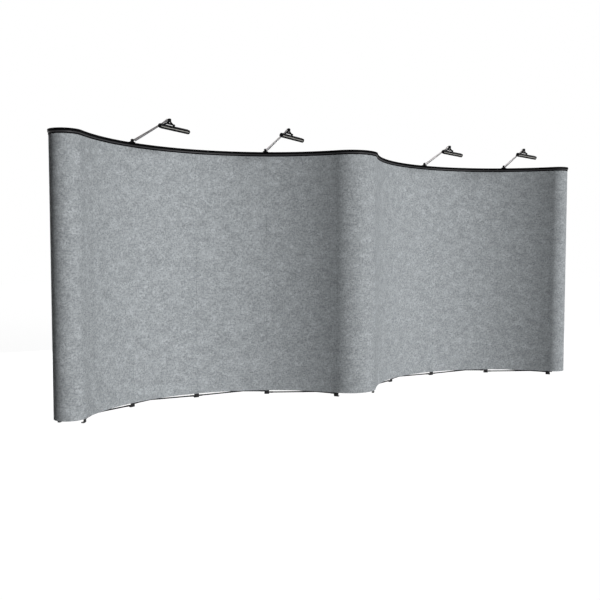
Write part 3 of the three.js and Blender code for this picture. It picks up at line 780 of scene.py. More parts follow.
def clamp(number, axes, pin):
    """The clamp: an angle of plate over the rail, a boss with the arm's pin and its cap, ribs behind
    the boss and a wedge beside it, and a thumb screw."""
    plate_foot = HEADER_TOP + GAP - pin[2]
    plate_top = plate_foot + CLAMP_THICKNESS
    boss_top = plate_top + BOSS_HEIGHT
    drop = HEADER_TOP - JAW_DROP - pin[2]
    half, front = CLAMP_HALF_WIDTH, -(HEADER_FRONT + HEADER_LIP_DEPTH + HEADER_BACK) / 2
    jaw = GAP - front
    back = jaw + JAW_THICKNESS
    bent = [
        (front, plate_foot), (jaw, plate_foot), (jaw, drop), (back, drop), (back, plate_top),
        (front, plate_top),
    ]
    plate = straight(rounded(bent, [0.0015, 0.0006, 0.0012, 0.0025, 0.005, 0.002], 4), ALONG, -half, half)
    stations = [0, 0.0015, BOSS_HEIGHT - 0.0012, BOSS_HEIGHT]
    boss = turned((0, 0, plate_top), UP, stations, [0.0158, 0.0143, 0.0138, 0.0126], 28)
    post = turned((0, 0, boss_top - GAP), UP, [0, POST_HEIGHT], [PIVOT_RADIUS] * 2, 20, 1)
    sunk = plate_top - 0.001
    slope = [(-half + 0.001, sunk), (0.012, sunk), (0.006, boss_top), (-0.006, boss_top)]
    wedge = straight(rounded(slope, 0.002), THROUGH, -WEDGE_HALF_DEPTH, WEDGE_HALF_DEPTH, 0.001)
    fin = [
        (0.0150, plate_top), (back - 0.001, plate_top), (back - 0.001, plate_top + 0.002),
        (0.0145, boss_top - 0.001), (0.012, boss_top - 0.001),
    ]
    fin = rounded(fin, 0.0005, 2)
    ribs = [
        straight(fin, ALONG, x - RIB_HALF_WIDTH, x + RIB_HALF_WIDTH) for x in (-RIB_PITCH, 0, RIB_PITCH)
    ]
    shells = moved([plate, boss, wedge, post, pivot_cap(), *ribs], axes, pin)
    name, node = f"light_{number}_bracket", f"light_{number}_clamp"
    piece(name, shells, [clamp_black, pin_steel], node=node, bevel=CLAMP_BEVEL)
    thumb_screw(number, axes, pin, back, (drop + plate_foot) / 2)


def thumb_screw(number, axes, pin, back, height):
    """The screw that grips the rail from behind: a threaded stem and a knob with eight lobes, whose
    radius is r (1 + 0.09 cos 8t)."""
    start = np.array([0, back - 0.0005, height])
    thread = np.linspace(0, 0.009, 19)
    stem = turned(start, THROUGH, thread, 0.0028 + 0.0004 * (np.arange(len(thread)) % 2), 12, 1)
    s = KNOB_START + np.array([0, 0.0005, 0.0035, 0.011, 0.013, 0.0137])[:, None]
    r = np.array([0.007, 0.0085, 0.0125, 0.0125, 0.0110, 0.0070])[:, None]
    t = full_turn(6 * KNOB_LOBES)
    lobes = r * (1 + 0.09 * np.cos(KNOB_LOBES * t) * (r > 0.010))
    depth = np.broadcast_to(start[1] + s, lobes.shape)
    knob = tube(np.stack([lobes * np.cos(t), depth, height + lobes * np.sin(t)], 2))
    shells = moved([stem, knob], axes, pin)
    piece(f"light_{number}_thumb_screw", shells, [knob_black, pin_steel])


def eye(centre):
    """A ring with broken edges: its closed section, turned about the upright line through centre."""
    section = rectangle(EYE_BORE, -EYE_HALF_HEIGHT, EYE_RADIUS, EYE_HALF_HEIGHT, 0.0012)
    t = full_turn(32)[:, None]
    r, z = section.T
    rings = np.stack([r * np.cos(t), r * np.sin(t), z + 0 * t], 2) + centre
    quads = grid_quads(len(t) + 1, len(section), True) % (len(t) * len(section))
    return shell(rings.reshape(-1, 3), quads, (), 2)


def arm(number, axes, pin, tip):
    """The arm: an eye and a flat tang at each end, a sloping tube, a thicker sleeve under its root, and a
    neck plate at its tip. The sleeve, the tip's tang and the neck are pale: a painted reflection along
    the tube's underside and a painted highlight at its tip."""
    reach, rise = float(np.linalg.norm((tip - pin)[:2])), float(tip[2] - pin[2])
    half = ARM_RADIUS + GAP
    flat = rectangle(-half, -EYE_HALF_HEIGHT, half, EYE_HALF_HEIGHT, 0.002)
    root_tang = straight(flat, THROUGH, -TANG_START, -TANG_LENGTH, 0.001, 2)
    ends = (0, TANG_LENGTH - reach, rise), (0, TANG_START - reach, rise)
    # The tip's tang is painted pale: a painted highlight.
    tip_tang = carried(flat, *ends, ALONG, UP, 0.001, 1)
    start, end = np.array([0, -TUBE_START, 0]), np.array([0, TUBE_START - reach, rise])
    length = float(np.linalg.norm(end - start))
    along = (end - start) / length
    head, wide = [0, 0.004, 0.018, 0.024], [0.8, 1, 1, 0.93]
    stations = head + [0.5 * length] + [length - s for s in reversed(head)]
    bar = turned(start, along, stations, ARM_RADIUS * np.array(wide + [0.86] + wide[::-1]), 24)
    below = np.array([0, -along[2], along[1]])
    below *= -np.sign(below[2])
    s = np.array([0.010, 0.013, 0.06, 0.5 * length, 0.86 * length, 0.86 * length + 0.004])
    drop = np.array([0.0084, 0.0094, 0.0094, 0.0078, 0.0058, 0.0044])
    size = np.array([0.0060, 0.0084, 0.0082, 0.0062, 0.0040, 0.0018])
    place = start + s[:, None] * along + drop[:, None] * below
    t = full_turn(20)[None, :, None]
    # The sleeve is painted pale: a painted reflection along the tube's underside, widest at the root.
    reflection_sleeve = tube(place[:, None] + size[:, None, None] * (np.cos(t) * ALONG + np.sin(t) * below), 1)
    near, far = NECK_START - reach, NECK_LENGTH - reach
    slope = rise * (-far - TUBE_START) / (reach - 2 * TUBE_START)
    neck = [
        (near, rise - EYE_HALF_HEIGHT), (near, rise + 0.0105), (near + 0.012, rise + 0.0115),
        (far, slope + 0.006), (far, slope - 0.004),
    ]
    # The neck plate is painted pale: a painted highlight.
    neck = straight(rounded(neck, 0.002), ALONG, -NECK_HALF_WIDTH, NECK_HALF_WIDTH, 0.0006, 1)
    shells = [eye((0, 0, 0)), eye((0, -reach, rise)), root_tang, tip_tang, bar, reflection_sleeve, neck]
    body, node = f"light_{number}_swing", f"light_{number}_arm"
    materials = [arm_metal, arm_strut, clamp_black]
    piece(f"light_{number}_tube", moved(shells, axes, pin), materials, body, node)


def yoke(number, axes, turn):
    """The yoke: a pin and cap in the arm's eye, a knuckle, a V of flat bar with a web and a pale inset
    in it, a painted highlight, and the lamp's hinge bar with a barrel at each leg's foot and a nut at each
    end."""
    top = -EYE_HALF_HEIGHT - GAP
    foot, hinge = top - KNUCKLE_HEIGHT, -HINGE_DEPTH
    stem = turned((0, 0, top - GAP), UP, [0, 2 * EYE_HALF_HEIGHT + 3 * GAP], [PIVOT_RADIUS] * 2, 20, 1)
    stations = [0, 0.001, KNUCKLE_HEIGHT - 0.001, KNUCKLE_HEIGHT]
    knuckle = turned((0, 0, foot), UP, stations, [0.0128, EYE_RADIUS, EYE_RADIUS, 0.0128], 28)
    shells = [pivot_cap(), stem, knuckle]
    leg, across = YOKE_LEG_WIDTH / 2, YOKE_THICKNESS / 2
    flat = rectangle(-leg, -across, leg, across, 0.0012)
    for side in (-1, 1):
        start = np.array([side * 0.0045, 0, foot + 0.004])
        end = np.array([side * (YOKE_HALF_WIDTH - 0.004), 0, hinge + 0.0005])
        run = (end - start) / np.linalg.norm(end - start)
        shells.append(carried(flat, start, end, np.cross(run, THROUGH), THROUGH, 0.0008))
        nut = (side * (HINGE_HALF_LENGTH - NUT_LENGTH), 0, hinge)
        stations = [0, NUT_LENGTH - 0.0005, NUT_LENGTH]
        shells.append(turned(nut, side * ALONG, stations, [0.0062, 0.0062, 0.005], 6, 1))
        barrel = (side * (YOKE_HALF_WIDTH - 0.003) - BARREL_LENGTH / 2, 0, hinge)
        stations = [0, 0.0008, BARREL_LENGTH - 0.0008, BARREL_LENGTH]
        shells.append(turned(barrel, ALONG, stations, [0.0056, 0.0064, 0.0064, 0.0056], 20))
    web = (YOKE_HALF_WIDTH - 0.010, hinge + 0.0010, 0.0012, 0)
    # The pale inset on the web is a painted highlight.
    inset = (0.005, hinge + 0.0090, 0.0016, 2)
    for wide, low, half, paint in (web, inset):
        outline = both_sides([(-0.1 * wide, foot + 0.002), (-wide, low)], (-1, 1))
        shells.append(straight(rounded(outline, 0.0012, 2), THROUGH, -half, half, 0.0003, paint))
    stations = [0, 0.001, 2 * HINGE_HALF_LENGTH - 0.001, 2 * HINGE_HALF_LENGTH]
    radii = HINGE_RADIUS * np.array([0.8, 1, 1, 0.8])
    shells.append(turned((-HINGE_HALF_LENGTH, 0, hinge), ALONG, stations, radii, 20))
    body, node = f"light_{number}_turn", f"light_{number}_yoke"
    materials = [yoke_black, pin_steel, arm_strut]
    piece(f"light_{number}_v_bracket", moved(shells, axes, turn), materials, body, node)


def stacked(levels, centre, steps=14):
    """Rings with half-round ends, one for each (inset, depth), joined: straight runs and half circles,
    x = centre + shift + r cos t and z = centre + r sin t, where r is half the lamp's height less the
    inset."""
    inset, depth = (one[:, None] for one in np.array(levels).T)
    t = np.concatenate([np.linspace(-0.5, 0.5, steps), np.linspace(0.5, 1.5, steps)]) * math.pi
    shift = np.repeat([1, -1], steps) * (LAMP_LENGTH - LAMP_HEIGHT) / 2
    r = LAMP_HEIGHT / 2 - inset
    x, z = centre[0] + shift + r * np.cos(t), centre[1] + r * np.sin(t)
    rings = np.stack([x, np.broadcast_to(depth, x.shape), z], 2)
    return tube(rings, uv=rings[..., [0, 2]].reshape(-1, 2))


def lamp(number, axes, hinge):
    """The lamp: a rounded housing with a sunk window in front, cooling fins behind and two ears on the
    hinge bar."""
    middle = (LAMP_OFFSET, -LAMP_HINGE_HEIGHT - LAMP_HEIGHT / 2)
    front, back, m = -LAMP_DEPTH / 2, LAMP_DEPTH / 2, WINDOW_MARGIN
    sunk = front + WINDOW_DEPTH
    levels = [
        (0.0090, back), (0.0045, back), (0.0022, back - 0.0009), (0.0007, back - 0.0028), (0, back - 0.006),
        (0, front + 0.005), (0.0006, front + 0.0022), (0.0018, front + 0.0006), (0.0034, front),
        (m - 0.0012, front), (m - 0.0003, front + 0.0008), (m, sunk), (m + 0.004, sunk),
    ]
    shells = [stacked(levels, middle)]
    low, high = middle[1] - FIN_HALF_HEIGHT, middle[1] + FIN_HALF_HEIGHT
    fin = rectangle(back - 0.001, low, back + 0.0004, high, 0.0003, 1)
    for x in np.linspace(-FIN_SPREAD, FIN_SPREAD, FIN_COUNT) * LAMP_LENGTH + LAMP_OFFSET:
        shells.append(straight(fin, ALONG, x - FIN_HALF_WIDTH, x + FIN_HALF_WIDTH))
    t, foot = np.linspace(0, math.pi, 15), middle[1] + 0.004
    head = EAR_RADIUS * np.stack([np.cos(t), np.sin(t)], 1)
    ear = np.concatenate([head, [[-EAR_RADIUS, foot], [EAR_RADIUS, foot]]])
    for x in (-EAR_PLACE, EAR_PLACE):
        shells.append(straight(ear, ALONG, x - EAR_WIDTH / 2, x + EAR_WIDTH / 2, 0.0006))
    body, node = f"light_{number}_tilt", f"light_{number}_lamp"
    shells = moved(shells, axes, hinge)
    piece(f"light_{number}_housing", shells, [lamp_black], body, node)
    lens = moved(diffuser(middle, front), axes, hinge)
    piece(f"light_{number}_lens", lens, [lens_pale, lamp_black], body)


def diffuser(middle, front):
    """The pale lens, a low cushion in the window's recess, and the divider across it."""
    m, sunk = WINDOW_MARGIN + 0.0006, front + WINDOW_DEPTH - 0.0001
    levels = [(m, sunk), (m, front + 0.0022), (m + 0.0012, front + 0.0013), (m + 0.0045, front + 0.0009)]
    x, z = LAMP_OFFSET - DIVIDER_OFFSET, LAMP_HEIGHT / 2 - m + 0.0004
    rib = rectangle(front + 0.0003, middle[1] - z, sunk, middle[1] + z, 0.0003, 1)
    divider = straight(rib, ALONG, x - DIVIDER_HALF_WIDTH, x + DIVIDER_HALF_WIDTH, paint=1)
    return [stacked(levels, middle), divider]


def hang_lights():
    """All four lights, each from its joints' places."""
    for number in range(1, 5):
        clamp_at, arm_at, yoke_at, lamp_at = light_places(number)
        clamp(number, *clamp_at)
        arm(number, *arm_at, yoke_at[1])
        yoke(number, *yoke_at)
        lamp(number, *lamp_at)


# ---- shader groups ----


class Nodes:
    """A node tree, with the steps that the recipes below are written in."""

    def __init__(self, tree):
        self.tree = tree

    def feed(self, socket, value):
        """Links another node's output to the socket, or sets the socket to a value or opaque colour."""
        if isinstance(value, bpy.types.NodeSocket):
            self.tree.links.new(value, socket)
        else:
            socket.default_value = (*value, 1.0) if socket.type == "RGBA" else value

    def put(self, kind, inputs=None, **settings):
        """The outputs of a new node with these settings and inputs."""
        made = self.tree.nodes.new(kind)
        for key, value in settings.items():
            setattr(made, key, value)
        for label, value in (inputs or {}).items():
            self.feed(made.inputs[label], value)
        return made.outputs

    def calc(self, operation, first, second=0.0, third=0.0, clamp=False):
        """One step of arithmetic on values or sockets."""
        values = {0: first, 1: second, 2: third}
        return self.put("ShaderNodeMath", values, operation=operation, use_clamp=clamp)[0]

    def scaled(self, vector, *factors):
        """A coordinate multiplied by one factor for each axis."""
        return self.put("ShaderNodeVectorMath", {0: vector, 1: factors}, operation="MULTIPLY")[0]

    def split(self, vector):
        """A coordinate's three parts."""
        return self.put("ShaderNodeSeparateXYZ", {0: vector})

    def noise(self, vector, scale, detail=3.0, rough=0.5, distortion=0.0):
        """A noise value about a half, at so many lumps to the metre."""
        values = {"Vector": vector, "Scale": scale, "Detail": detail}
        values.update({"Roughness": rough, "Distortion": distortion})
        return self.put("ShaderNodeTexNoise", values)[0]

    def spread(self, value, low, high, to_low=0.0, to_high=1.0):
        """A value mapped from one range to another and held within it."""
        values = {"Value": value, "From Min": low, "From Max": high, "To Min": to_low, "To Max": to_high}
        return self.put("ShaderNodeMapRange", values)[0]


class Group(Nodes):
    """A shader group: vectors by name, numbers by name with their usual values, and its outputs."""

    def __init__(self, name, vectors, numbers, outputs):
        super().__init__(bpy.data.node_groups.new(name, "ShaderNodeTree"))
        face = self.tree.interface
        for label in vectors:
            face.new_socket(label, in_out="INPUT", socket_type="NodeSocketVector")
        for label, value in numbers.items():
            face.new_socket(label, in_out="INPUT", socket_type="NodeSocketFloat").default_value = value
        for label in outputs:
            face.new_socket(label, in_out="OUTPUT", socket_type="NodeSocketFloat")
        self.given = self.put("NodeGroupInput")
        self.end = self.tree.nodes.new("NodeGroupOutput")

    def give(self, **results):
        """Links the results to the group's outputs; returns its tree."""
        for label, value in results.items():
            self.feed(self.end.inputs[label], value)
        return self.tree


def make_heather_group():
    """Heathered loop fabric on a map in metres: ribs that wander, blended yarn flecks, pale wisps of
    stray loops and slow drifts of shade. Shade runs from 0, dark yarn, to 1, pale yarn."""
    cloth = Group("heather", ["Map"], {"Rib Pitch": 0.006}, ["Shade", "Height"])
    calc, noise, scaled, place = cloth.calc, cloth.noise, cloth.scaled, cloth.given["Map"]
    wander = calc("SUBTRACT", noise(place, 55.0, 2.0), 0.5)
    turns = calc("DIVIDE", cloth.split(place)[0], cloth.given["Rib Pitch"])
    phase = calc("MULTIPLY_ADD", wander, 1.6, turns)
    rib = calc("SINE", calc("MULTIPLY", phase, 2 * math.pi))
    loops = noise(place, 420.0, 2.0, 0.6)
    fleck = noise(place, 66.0, 5.0, 0.74, 0.9)
    curl = noise(scaled(place, 0.8, 1.0, 1.0), 19.0, 1.0, 0.5, 2.0)
    ridge = calc("ABSOLUTE", calc("SUBTRACT", curl, 0.5))
    thin = cloth.spread(noise(place, 12.0, 2.0), 0.44, 0.58)
    wisp = calc("MULTIPLY", cloth.spread(ridge, 0.012, 0.070, 1.0, 0.0), thin)
    layers = [
        (noise(scaled(place, 1.0, 0.4, 1.0), 90.0, 2.0, 0.6), 1.2),  # streaks up the cloth
        (noise(scaled(place, 0.45, 1.0, 1.0), 85.0, 2.0, 0.6, 0.5), 1.3),  # streaks across it
        (fleck, 1.5),
        (noise(scaled(place, 0.7, 1.0, 1.0), 15.0, 2.0, 0.5), 0.55),  # patches
        (noise(place, 5.0, 2.0, 0.5), 0.3),  # slow drift
        (loops, 1.0),
    ]
    shade = 0.39
    for value, weight in layers:
        shade = calc("MULTIPLY_ADD", calc("SUBTRACT", value, 0.5), weight, shade)
    shade = calc("MULTIPLY_ADD", wisp, 0.44, shade)
    shade = calc("MULTIPLY_ADD", rib, 0.05, shade, clamp=True)
    height = calc("MULTIPLY_ADD", fleck, 0.8, calc("MULTIPLY_ADD", rib, 0.5, loops))
    return cloth.give(Shade=shade, Height=height)


def make_grain_group():
    """Fine moulded grain: a Height of small pits, and a Shade that drifts slowly over the surface."""
    skin = Group("moulded_grain", ["Place"], {"Grain": 900.0}, ["Height", "Shade"])
    place = skin.given["Place"]
    pits = skin.noise(place, skin.given["Grain"], 3.0, 0.6)
    return skin.give(Height=pits, Shade=skin.noise(place, 18.0, 3.0, 0.55))


def make_scuff_group():
    """Light handling marks: thin stretched scratches, kept to a few patches. Mask is 1 on a mark."""
    wear = Group("scuffs", ["Place"], {"Amount": 0.5}, ["Mask"])
    place = wear.given["Place"]
    marks = wear.spread(wear.noise(wear.scaled(place, 260.0, 40.0, 90.0), 1.0, 4.0, 0.7, 0.8), 0.60, 0.72)
    near = wear.spread(wear.noise(place, 9.0, 2.0), 0.50, 0.66)
    mask = wear.calc("MULTIPLY", wear.calc("MULTIPLY", marks, near), wear.given["Amount"], clamp=True)
    return wear.give(Mask=mask)


def make_dust_group():
    """Dust that settles where the surface faces up. Mask is 1 under the thickest of it."""
    dust = Group("settled_dust", ["Place", "Facing"], {"Amount": 0.3}, ["Mask"])
    level = dust.spread(dust.split(dust.given["Facing"])[2], 0.6, 0.98)
    patchy = dust.spread(dust.noise(dust.given["Place"], 38.0, 4.0, 0.7), 0.35, 0.7, 0.35, 1.0)
    mask = dust.calc("MULTIPLY", dust.calc("MULTIPLY", level, patchy), dust.given["Amount"], clamp=True)
    return dust.give(Mask=mask)


def make_wrap_group():
    """Wrapped fibre on a map that runs round and along a rod: two sets of crossing helical bands."""
    wrap = Group("fibre_wrap", ["Map"], {}, ["Height", "Shade"])
    parts = wrap.split(wrap.given["Map"])
    bands = [
        wrap.calc("SINE", wrap.calc("MULTIPLY_ADD", parts[1], 700.0, wrap.calc("MULTIPLY", parts[0], slant)))
        for slant in (333.0, -333.0)
    ]
    streaks = wrap.noise(wrap.scaled(wrap.given["Map"], 700.0, 12.0, 1.0), 1.0, 3.0, 0.6)
    return wrap.give(Height=wrap.calc("MAXIMUM", *bands), Shade=streaks)


HEATHER, GRAIN, SCUFFS = make_heather_group(), make_grain_group(), make_scuff_group()
DUST, WRAP = make_dust_group(), make_wrap_group()


# ---- materials ----


class Finish(Nodes):
    """A material with its shader, its coordinates, and steps that its recipes share."""

    def __init__(self, name, roughness=0.5, metallic=0.0, specular=0.5, coat=0.0):
        self.material = bpy.data.materials.new(name)
        self.material.use_nodes = True
        super().__init__(self.material.node_tree)
        self.shader = self.tree.nodes["Principled BSDF"]
        self.set("Roughness", roughness)
        self.set("Metallic", metallic)
        self.set("Specular IOR Level", specular)
        self.set("Coat Weight", coat)
        coordinates = self.put("ShaderNodeTexCoord")
        self.place, self.facing = coordinates["Object"], coordinates["Normal"]
        self.map = self.put("ShaderNodeUVMap", uv_map="face_map")[0]

    def set(self, label, value):
        """Sets or links one of the shader's inputs."""
        self.feed(self.shader.inputs[label], value)

    def group(self, tree, **inputs):
        """The outputs of a shader group in this material."""
        return self.put("ShaderNodeGroup", inputs, node_tree=tree)

    def mix(self, share, first, second):
        """A colour between two colours or sockets."""
        return self.put("ShaderNodeMix", {0: share, 6: first, 7: second}, data_type="RGBA")[2]

    def bump(self, height, distance, strength):
        """Relief of the surface by a height."""
        values = {"Height": height, "Distance": distance, "Strength": strength}
        self.set("Normal", self.put("ShaderNodeBump", values)[0])

    def hard(self, tone, gloss, height, tones, rough, bump, scuff=None, dust=None):
        """A hard skin: a tone between two colours, then scuffs and dust, each an amount and a colour,
        with its gloss between two roughnesses and its relief. Returns the material."""
        colour = self.mix(tone, *tones)
        if scuff:
            marks = self.group(SCUFFS, Place=self.place, Amount=scuff[0])["Mask"]
            colour = self.mix(marks, colour, scuff[1])
        if dust:
            dusty = self.group(DUST, Place=self.place, Facing=self.facing, Amount=dust[0])["Mask"]
            colour = self.mix(dusty, colour, dust[1])
        self.set("Base Color", colour)
        self.set("Roughness", self.spread(gloss, 0.3, 0.7, *rough))
        self.bump(height, *bump)
        return self.material


def worn(colour, lift, share):
    """What a colour turns to where it is rubbed: lift + share * colour."""
    return tuple(lift + share * part for part in colour)


def make_loop_fabric():
    """Grey heathered display fabric with a looped pile."""
    made = Finish("loop_fabric", roughness=0.94, specular=0.12)
    yarn = made.group(HEATHER, Map=made.map)
    made.set("Base Color", made.mix(yarn["Shade"], (0.238, 0.255, 0.266), (0.500, 0.528, 0.549)))
    made.bump(yarn["Height"], 0.0006, 0.45)
    return made.material


def make_panel_backing():
    """The panels' backs: mid-grey calendered plastic, faintly streaked up its length."""
    made = Finish("panel_backing", specular=0.4)
    streaks = made.noise(made.scaled(made.map, 60.0, 2.0, 1.0), 1.0, 3.0, 0.6)
    pits = made.group(GRAIN, Place=made.place, Grain=700.0)["Height"]
    tones = (0.150, 0.155, 0.160), (0.195, 0.200, 0.206)
    scuff = 0.35, (0.24, 0.24, 0.24)
    return made.hard(streaks, streaks, pits, tones, (0.42, 0.58), (0.0002, 0.25), scuff)


def make_black_plastic(name, tones, rough, dust=0.25, scuff=0.4, grain=900.0, shine=0.14):
    """Black plastic with moulded grain, patchy gloss, light scuffs and dust where it faces up."""
    made = Finish(name, specular=shine)
    skin = made.group(GRAIN, Place=made.place, Grain=grain)
    scuff, dust = (scuff, worn(tones[1], 0.05, 1.6)), (dust, (0.20, 0.195, 0.185))
    return made.hard(skin["Shade"], skin["Shade"], skin["Height"], tones, rough, (0.00012, 0.5), scuff, dust)


def make_rod_fibre():
    """Black pultruded rod with a crossing wrap under a clear resin skin."""
    made = Finish("rod_fibre", specular=0.04, coat=0.03)
    made.set("Coat Roughness", 0.25)
    wrap = made.group(WRAP, Map=made.map)
    tones, dust = ((0.004, 0.004, 0.005), (0.012, 0.012, 0.014)), (0.06, (0.08, 0.078, 0.075))
    shade, bump = wrap["Shade"], (0.00012, 0.4)
    return made.hard(shade, shade, wrap["Height"], tones, (0.30, 0.46), bump, dust=dust)


def make_lined_plastic(name, tones, rough):
    """Extruded black plastic, with die lines along its length."""
    made = Finish(name, specular=0.3)
    fine = made.noise(made.scaled(made.place, 900.0, 900.0, 4.0), 1.0, 3.0, 0.6)
    return made.hard(fine, fine, fine, tones, rough, (0.0001, 0.35), (0.45, worn(tones[1], 0.04, 1.8)))


def make_header(name, tones, rough, shine, dust):
    """The header's satin extrusion: die lines follow it, on the map that runs along and up."""
    made = Finish(name, specular=shine)
    lines = made.noise(made.scaled(made.map, 3.0, 1400.0, 1.0), 1.0, 3.0, 0.6)
    smears = made.noise(made.place, 7.0, 3.0, 0.6)
    scuff, dust = (0.5, worn(tones[1], 0.03, 1.6)), (dust, (0.15, 0.148, 0.14))
    return made.hard(lines, smears, lines, tones, rough, (0.0001, 0.3), scuff, dust)


def make_metal(name, tones, rough, metallic=1.0):
    """Drawn metal: fine lines, uneven gloss and a few dull marks."""
    made = Finish(name, metallic=metallic)
    fine = made.noise(made.scaled(made.place, 300.0, 300.0, 60.0), 1.0, 4.0, 0.65)
    return made.hard(fine, fine, fine, tones, rough, (0.00005, 0.3), (0.5, worn(tones[0], 0.0, 0.7)))


def make_lens():
    """The pale diffuser: satin acrylic with fine prisms along it and a faint row of lamps behind."""
    made = Finish("lens_pale", roughness=0.30, coat=0.3)
    parts = made.split(made.map)
    prisms = made.calc("SINE", made.calc("MULTIPLY", parts[1], 3900.0))
    spots = made.calc("SINE", made.calc("MULTIPLY", parts[0], 420.0))
    cloud = made.noise(made.map, 30.0, 3.0, 0.6)
    colour = made.mix(cloud, (0.22, 0.215, 0.20), (0.31, 0.305, 0.285))
    glow = made.spread(spots, -1.0, 1.0, 0.0, 0.35)
    made.set("Base Color", made.mix(glow, colour, (0.44, 0.435, 0.39)))
    made.bump(prisms, 0.00015, 0.5)
    return made.material


def make_magnet_strip():
    """Brown-black rubber magnet tape with faint rolled lines across it."""
    made = Finish("magnet_strip", roughness=0.75, specular=0.3)
    lines = made.calc("SINE", made.calc("MULTIPLY", made.split(made.place)[2], 1600.0))
    shade = made.group(GRAIN, Place=made.place, Grain=600.0)["Shade"]
    made.set("Base Color", made.mix(shade, (0.022, 0.019, 0.017), (0.036, 0.032, 0.029)))
    made.bump(lines, 0.0001, 0.4)
    return made.material


STRIP_TONES = (0.020, 0.020, 0.021), (0.034, 0.034, 0.035)
HEADER_TONES = (0.001, 0.001, 0.0012), (0.003, 0.003, 0.0034)
# Lighter grey for the face under the header's lip: a painted sheen.
SHEEN_BAND_TONES = (0.028, 0.028, 0.030), (0.044, 0.044, 0.047)
HUB_TONES = (0.008, 0.008, 0.009), (0.018, 0.018, 0.019)
CLAMP_TONES = (0.004, 0.004, 0.005), (0.009, 0.009, 0.010)
KNOB_TONES = (0.010, 0.010, 0.010), (0.020, 0.020, 0.020)
YOKE_TONES = (0.003, 0.003, 0.003), (0.008, 0.008, 0.008)
LAMP_TONES = (0.003, 0.003, 0.0035), (0.008, 0.008, 0.009)
BAR_TONES = (0.016, 0.016, 0.017), (0.036, 0.036, 0.038)
PIN_TONES = (0.30, 0.30, 0.31), (0.48, 0.48, 0.50)
ARM_TONES = (0.19, 0.175, 0.17), (0.30, 0.28, 0.275)
# Pale metal for the painted reflection and highlights on the arm and in the V bracket.
PAINTED_HIGHLIGHT_TONES = (0.52, 0.49, 0.50), (0.68, 0.65, 0.66)

loop_fabric = make_loop_fabric()
panel_backing = make_panel_backing()
strip_plastic = make_black_plastic("strip_plastic", STRIP_TONES, (0.45, 0.62), 0.1)
header_black = make_header("header_black", HEADER_TONES, (0.55, 0.70), 0.02, 0.01)
header_band = make_header("header_band", SHEEN_BAND_TONES, (0.36, 0.50), 0.16, 0.0)
hub_black = make_black_plastic("hub_black", HUB_TONES, (0.42, 0.60))
clamp_black = make_black_plastic("clamp_black", CLAMP_TONES, (0.46, 0.62), 0.08, shine=0.05)
knob_black = make_black_plastic("knob_black", KNOB_TONES, (0.50, 0.70), 0.1)
yoke_black = make_black_plastic("yoke_black", YOKE_TONES, (0.44, 0.60), 0.05, 0.5, 1500.0, 0.04)
lamp_black = make_black_plastic("lamp_black", LAMP_TONES, (0.44, 0.60), 0.05, 0.35, 1300.0, 0.04)
rod_fibre = make_rod_fibre()
bar_black = make_lined_plastic("bar_black", BAR_TONES, (0.34, 0.52))
magnet_strip = make_magnet_strip()
pin_steel = make_metal("pin_steel", PIN_TONES, (0.30, 0.48))
arm_metal = make_metal("arm_metal", ARM_TONES, (0.30, 0.46), 0.85)
arm_strut = make_metal("arm_strut", PAINTED_HIGHLIGHT_TONES, (0.36, 0.52), 0.35)
lens_pale = make_lens()


# ---- assembly ----

build_frames()
dress_wall()
fit_headers()
hang_lights()


# ---- floor, background and light ----

WHITE = (1, 1, 1)
FLOOR_GREY = (0.30, 0.30, 0.30)
FLOOR_SIZE = 60.0
KEY_STRENGTH = 3.0
KEY_TURN = 18.0
KEY_HEIGHT = 10.0
KEY_SOFTNESS = 24.0
ROOM_LIGHT = 0.015
FLOOR_SHARE = 0.30
FLOOR_GLOW = 3.22
BACK_POWER = 420.0
BACK_PLACE = (0, 4.5, 1.3)
BACK_WIDTH, BACK_HEIGHT = 10.0, 1.4


def seen_share(nodes):
    """1 for the rays of the camera and of mirror and glass surfaces, and 0 for those that light."""
    path = nodes.put("ShaderNodeLightPath")
    share = nodes.calc("ADD", path["Is Camera Ray"], path["Is Glossy Ray"])
    return nodes.calc("ADD", share, path["Is Transmission Ray"], clamp=True)


def lit_and_seen(nodes, share, lights, shown, output):
    """A shader that lights in one way and is seen in another, led to the tree's output."""
    both = nodes.put("ShaderNodeMixShader", {0: share, 1: lights[0], 2: shown[0]})
    nodes.put(output, {0: both[0]})


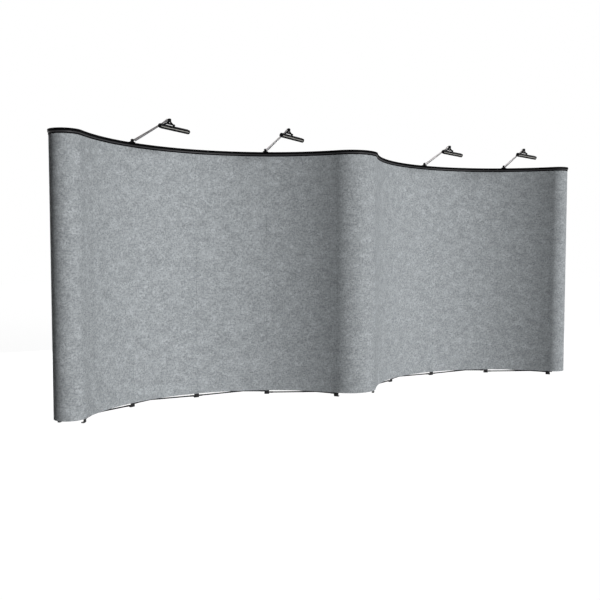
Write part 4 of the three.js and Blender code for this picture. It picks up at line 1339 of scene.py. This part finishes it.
def set_background():
    """A white background to look at, which gives a weak even room light."""
    world = bpy.data.worlds.new("room")
    bpy.context.scene.world = world
    world.use_nodes = True
    world.node_tree.nodes.clear()
    nodes = Nodes(world.node_tree)
    shown = nodes.put("ShaderNodeBackground", {"Color": WHITE, "Strength": 1.0})
    lights = nodes.put("ShaderNodeBackground", {"Color": WHITE, "Strength": ROOM_LIGHT})
    lit_and_seen(nodes, seen_share(nodes), lights, shown, "ShaderNodeOutputWorld")


def lay_floor():
    """A plain white floor that keeps a faint shadow of the wall."""
    material = bpy.data.materials.new("floor_white")
    material.use_nodes = True
    material.node_tree.nodes.clear()
    nodes = Nodes(material.node_tree)
    matt = nodes.put("ShaderNodeBsdfDiffuse", {"Color": FLOOR_GREY})
    shown = nodes.put("ShaderNodeEmission", {"Color": WHITE, "Strength": FLOOR_GLOW})
    share = nodes.calc("MULTIPLY", seen_share(nodes), FLOOR_SHARE)
    lit_and_seen(nodes, share, matt, shown, "ShaderNodeOutputMaterial")
    half = FLOOR_SIZE / 2
    mesh = bpy.data.meshes.new("floor")
    corners = [(-half, -half, 0), (half, -half, 0), (half, half, 0), (-half, half, 0)]
    mesh.from_pydata(corners, [], [(0, 1, 2, 3)])
    mesh.materials.append(material)
    floor = bpy.data.objects.new("floor", mesh)
    bpy.context.scene.collection.objects.link(floor)


def set_lights():
    """A broad soft key from in front, a little to the right, as the fabric's shading shows, and a low
    fill behind the wall, which its panels keep from the front."""
    key = bpy.data.lights.new("key", "SUN")
    key.energy, key.angle = KEY_STRENGTH, math.radians(KEY_SOFTNESS)
    stand("key", key, (0, 0, 0), (90 - KEY_HEIGHT, 0, KEY_TURN))
    fill = bpy.data.lights.new("back_fill", "AREA")
    fill.energy, fill.shape, fill.size, fill.size_y = BACK_POWER, "RECTANGLE", BACK_WIDTH, BACK_HEIGHT
    stand("back_fill", fill, BACK_PLACE, (-90, 0, 0)).visible_camera = False


set_background()
lay_floor()
set_lights()
bpy.context.scene.view_settings.view_transform = "Standard"
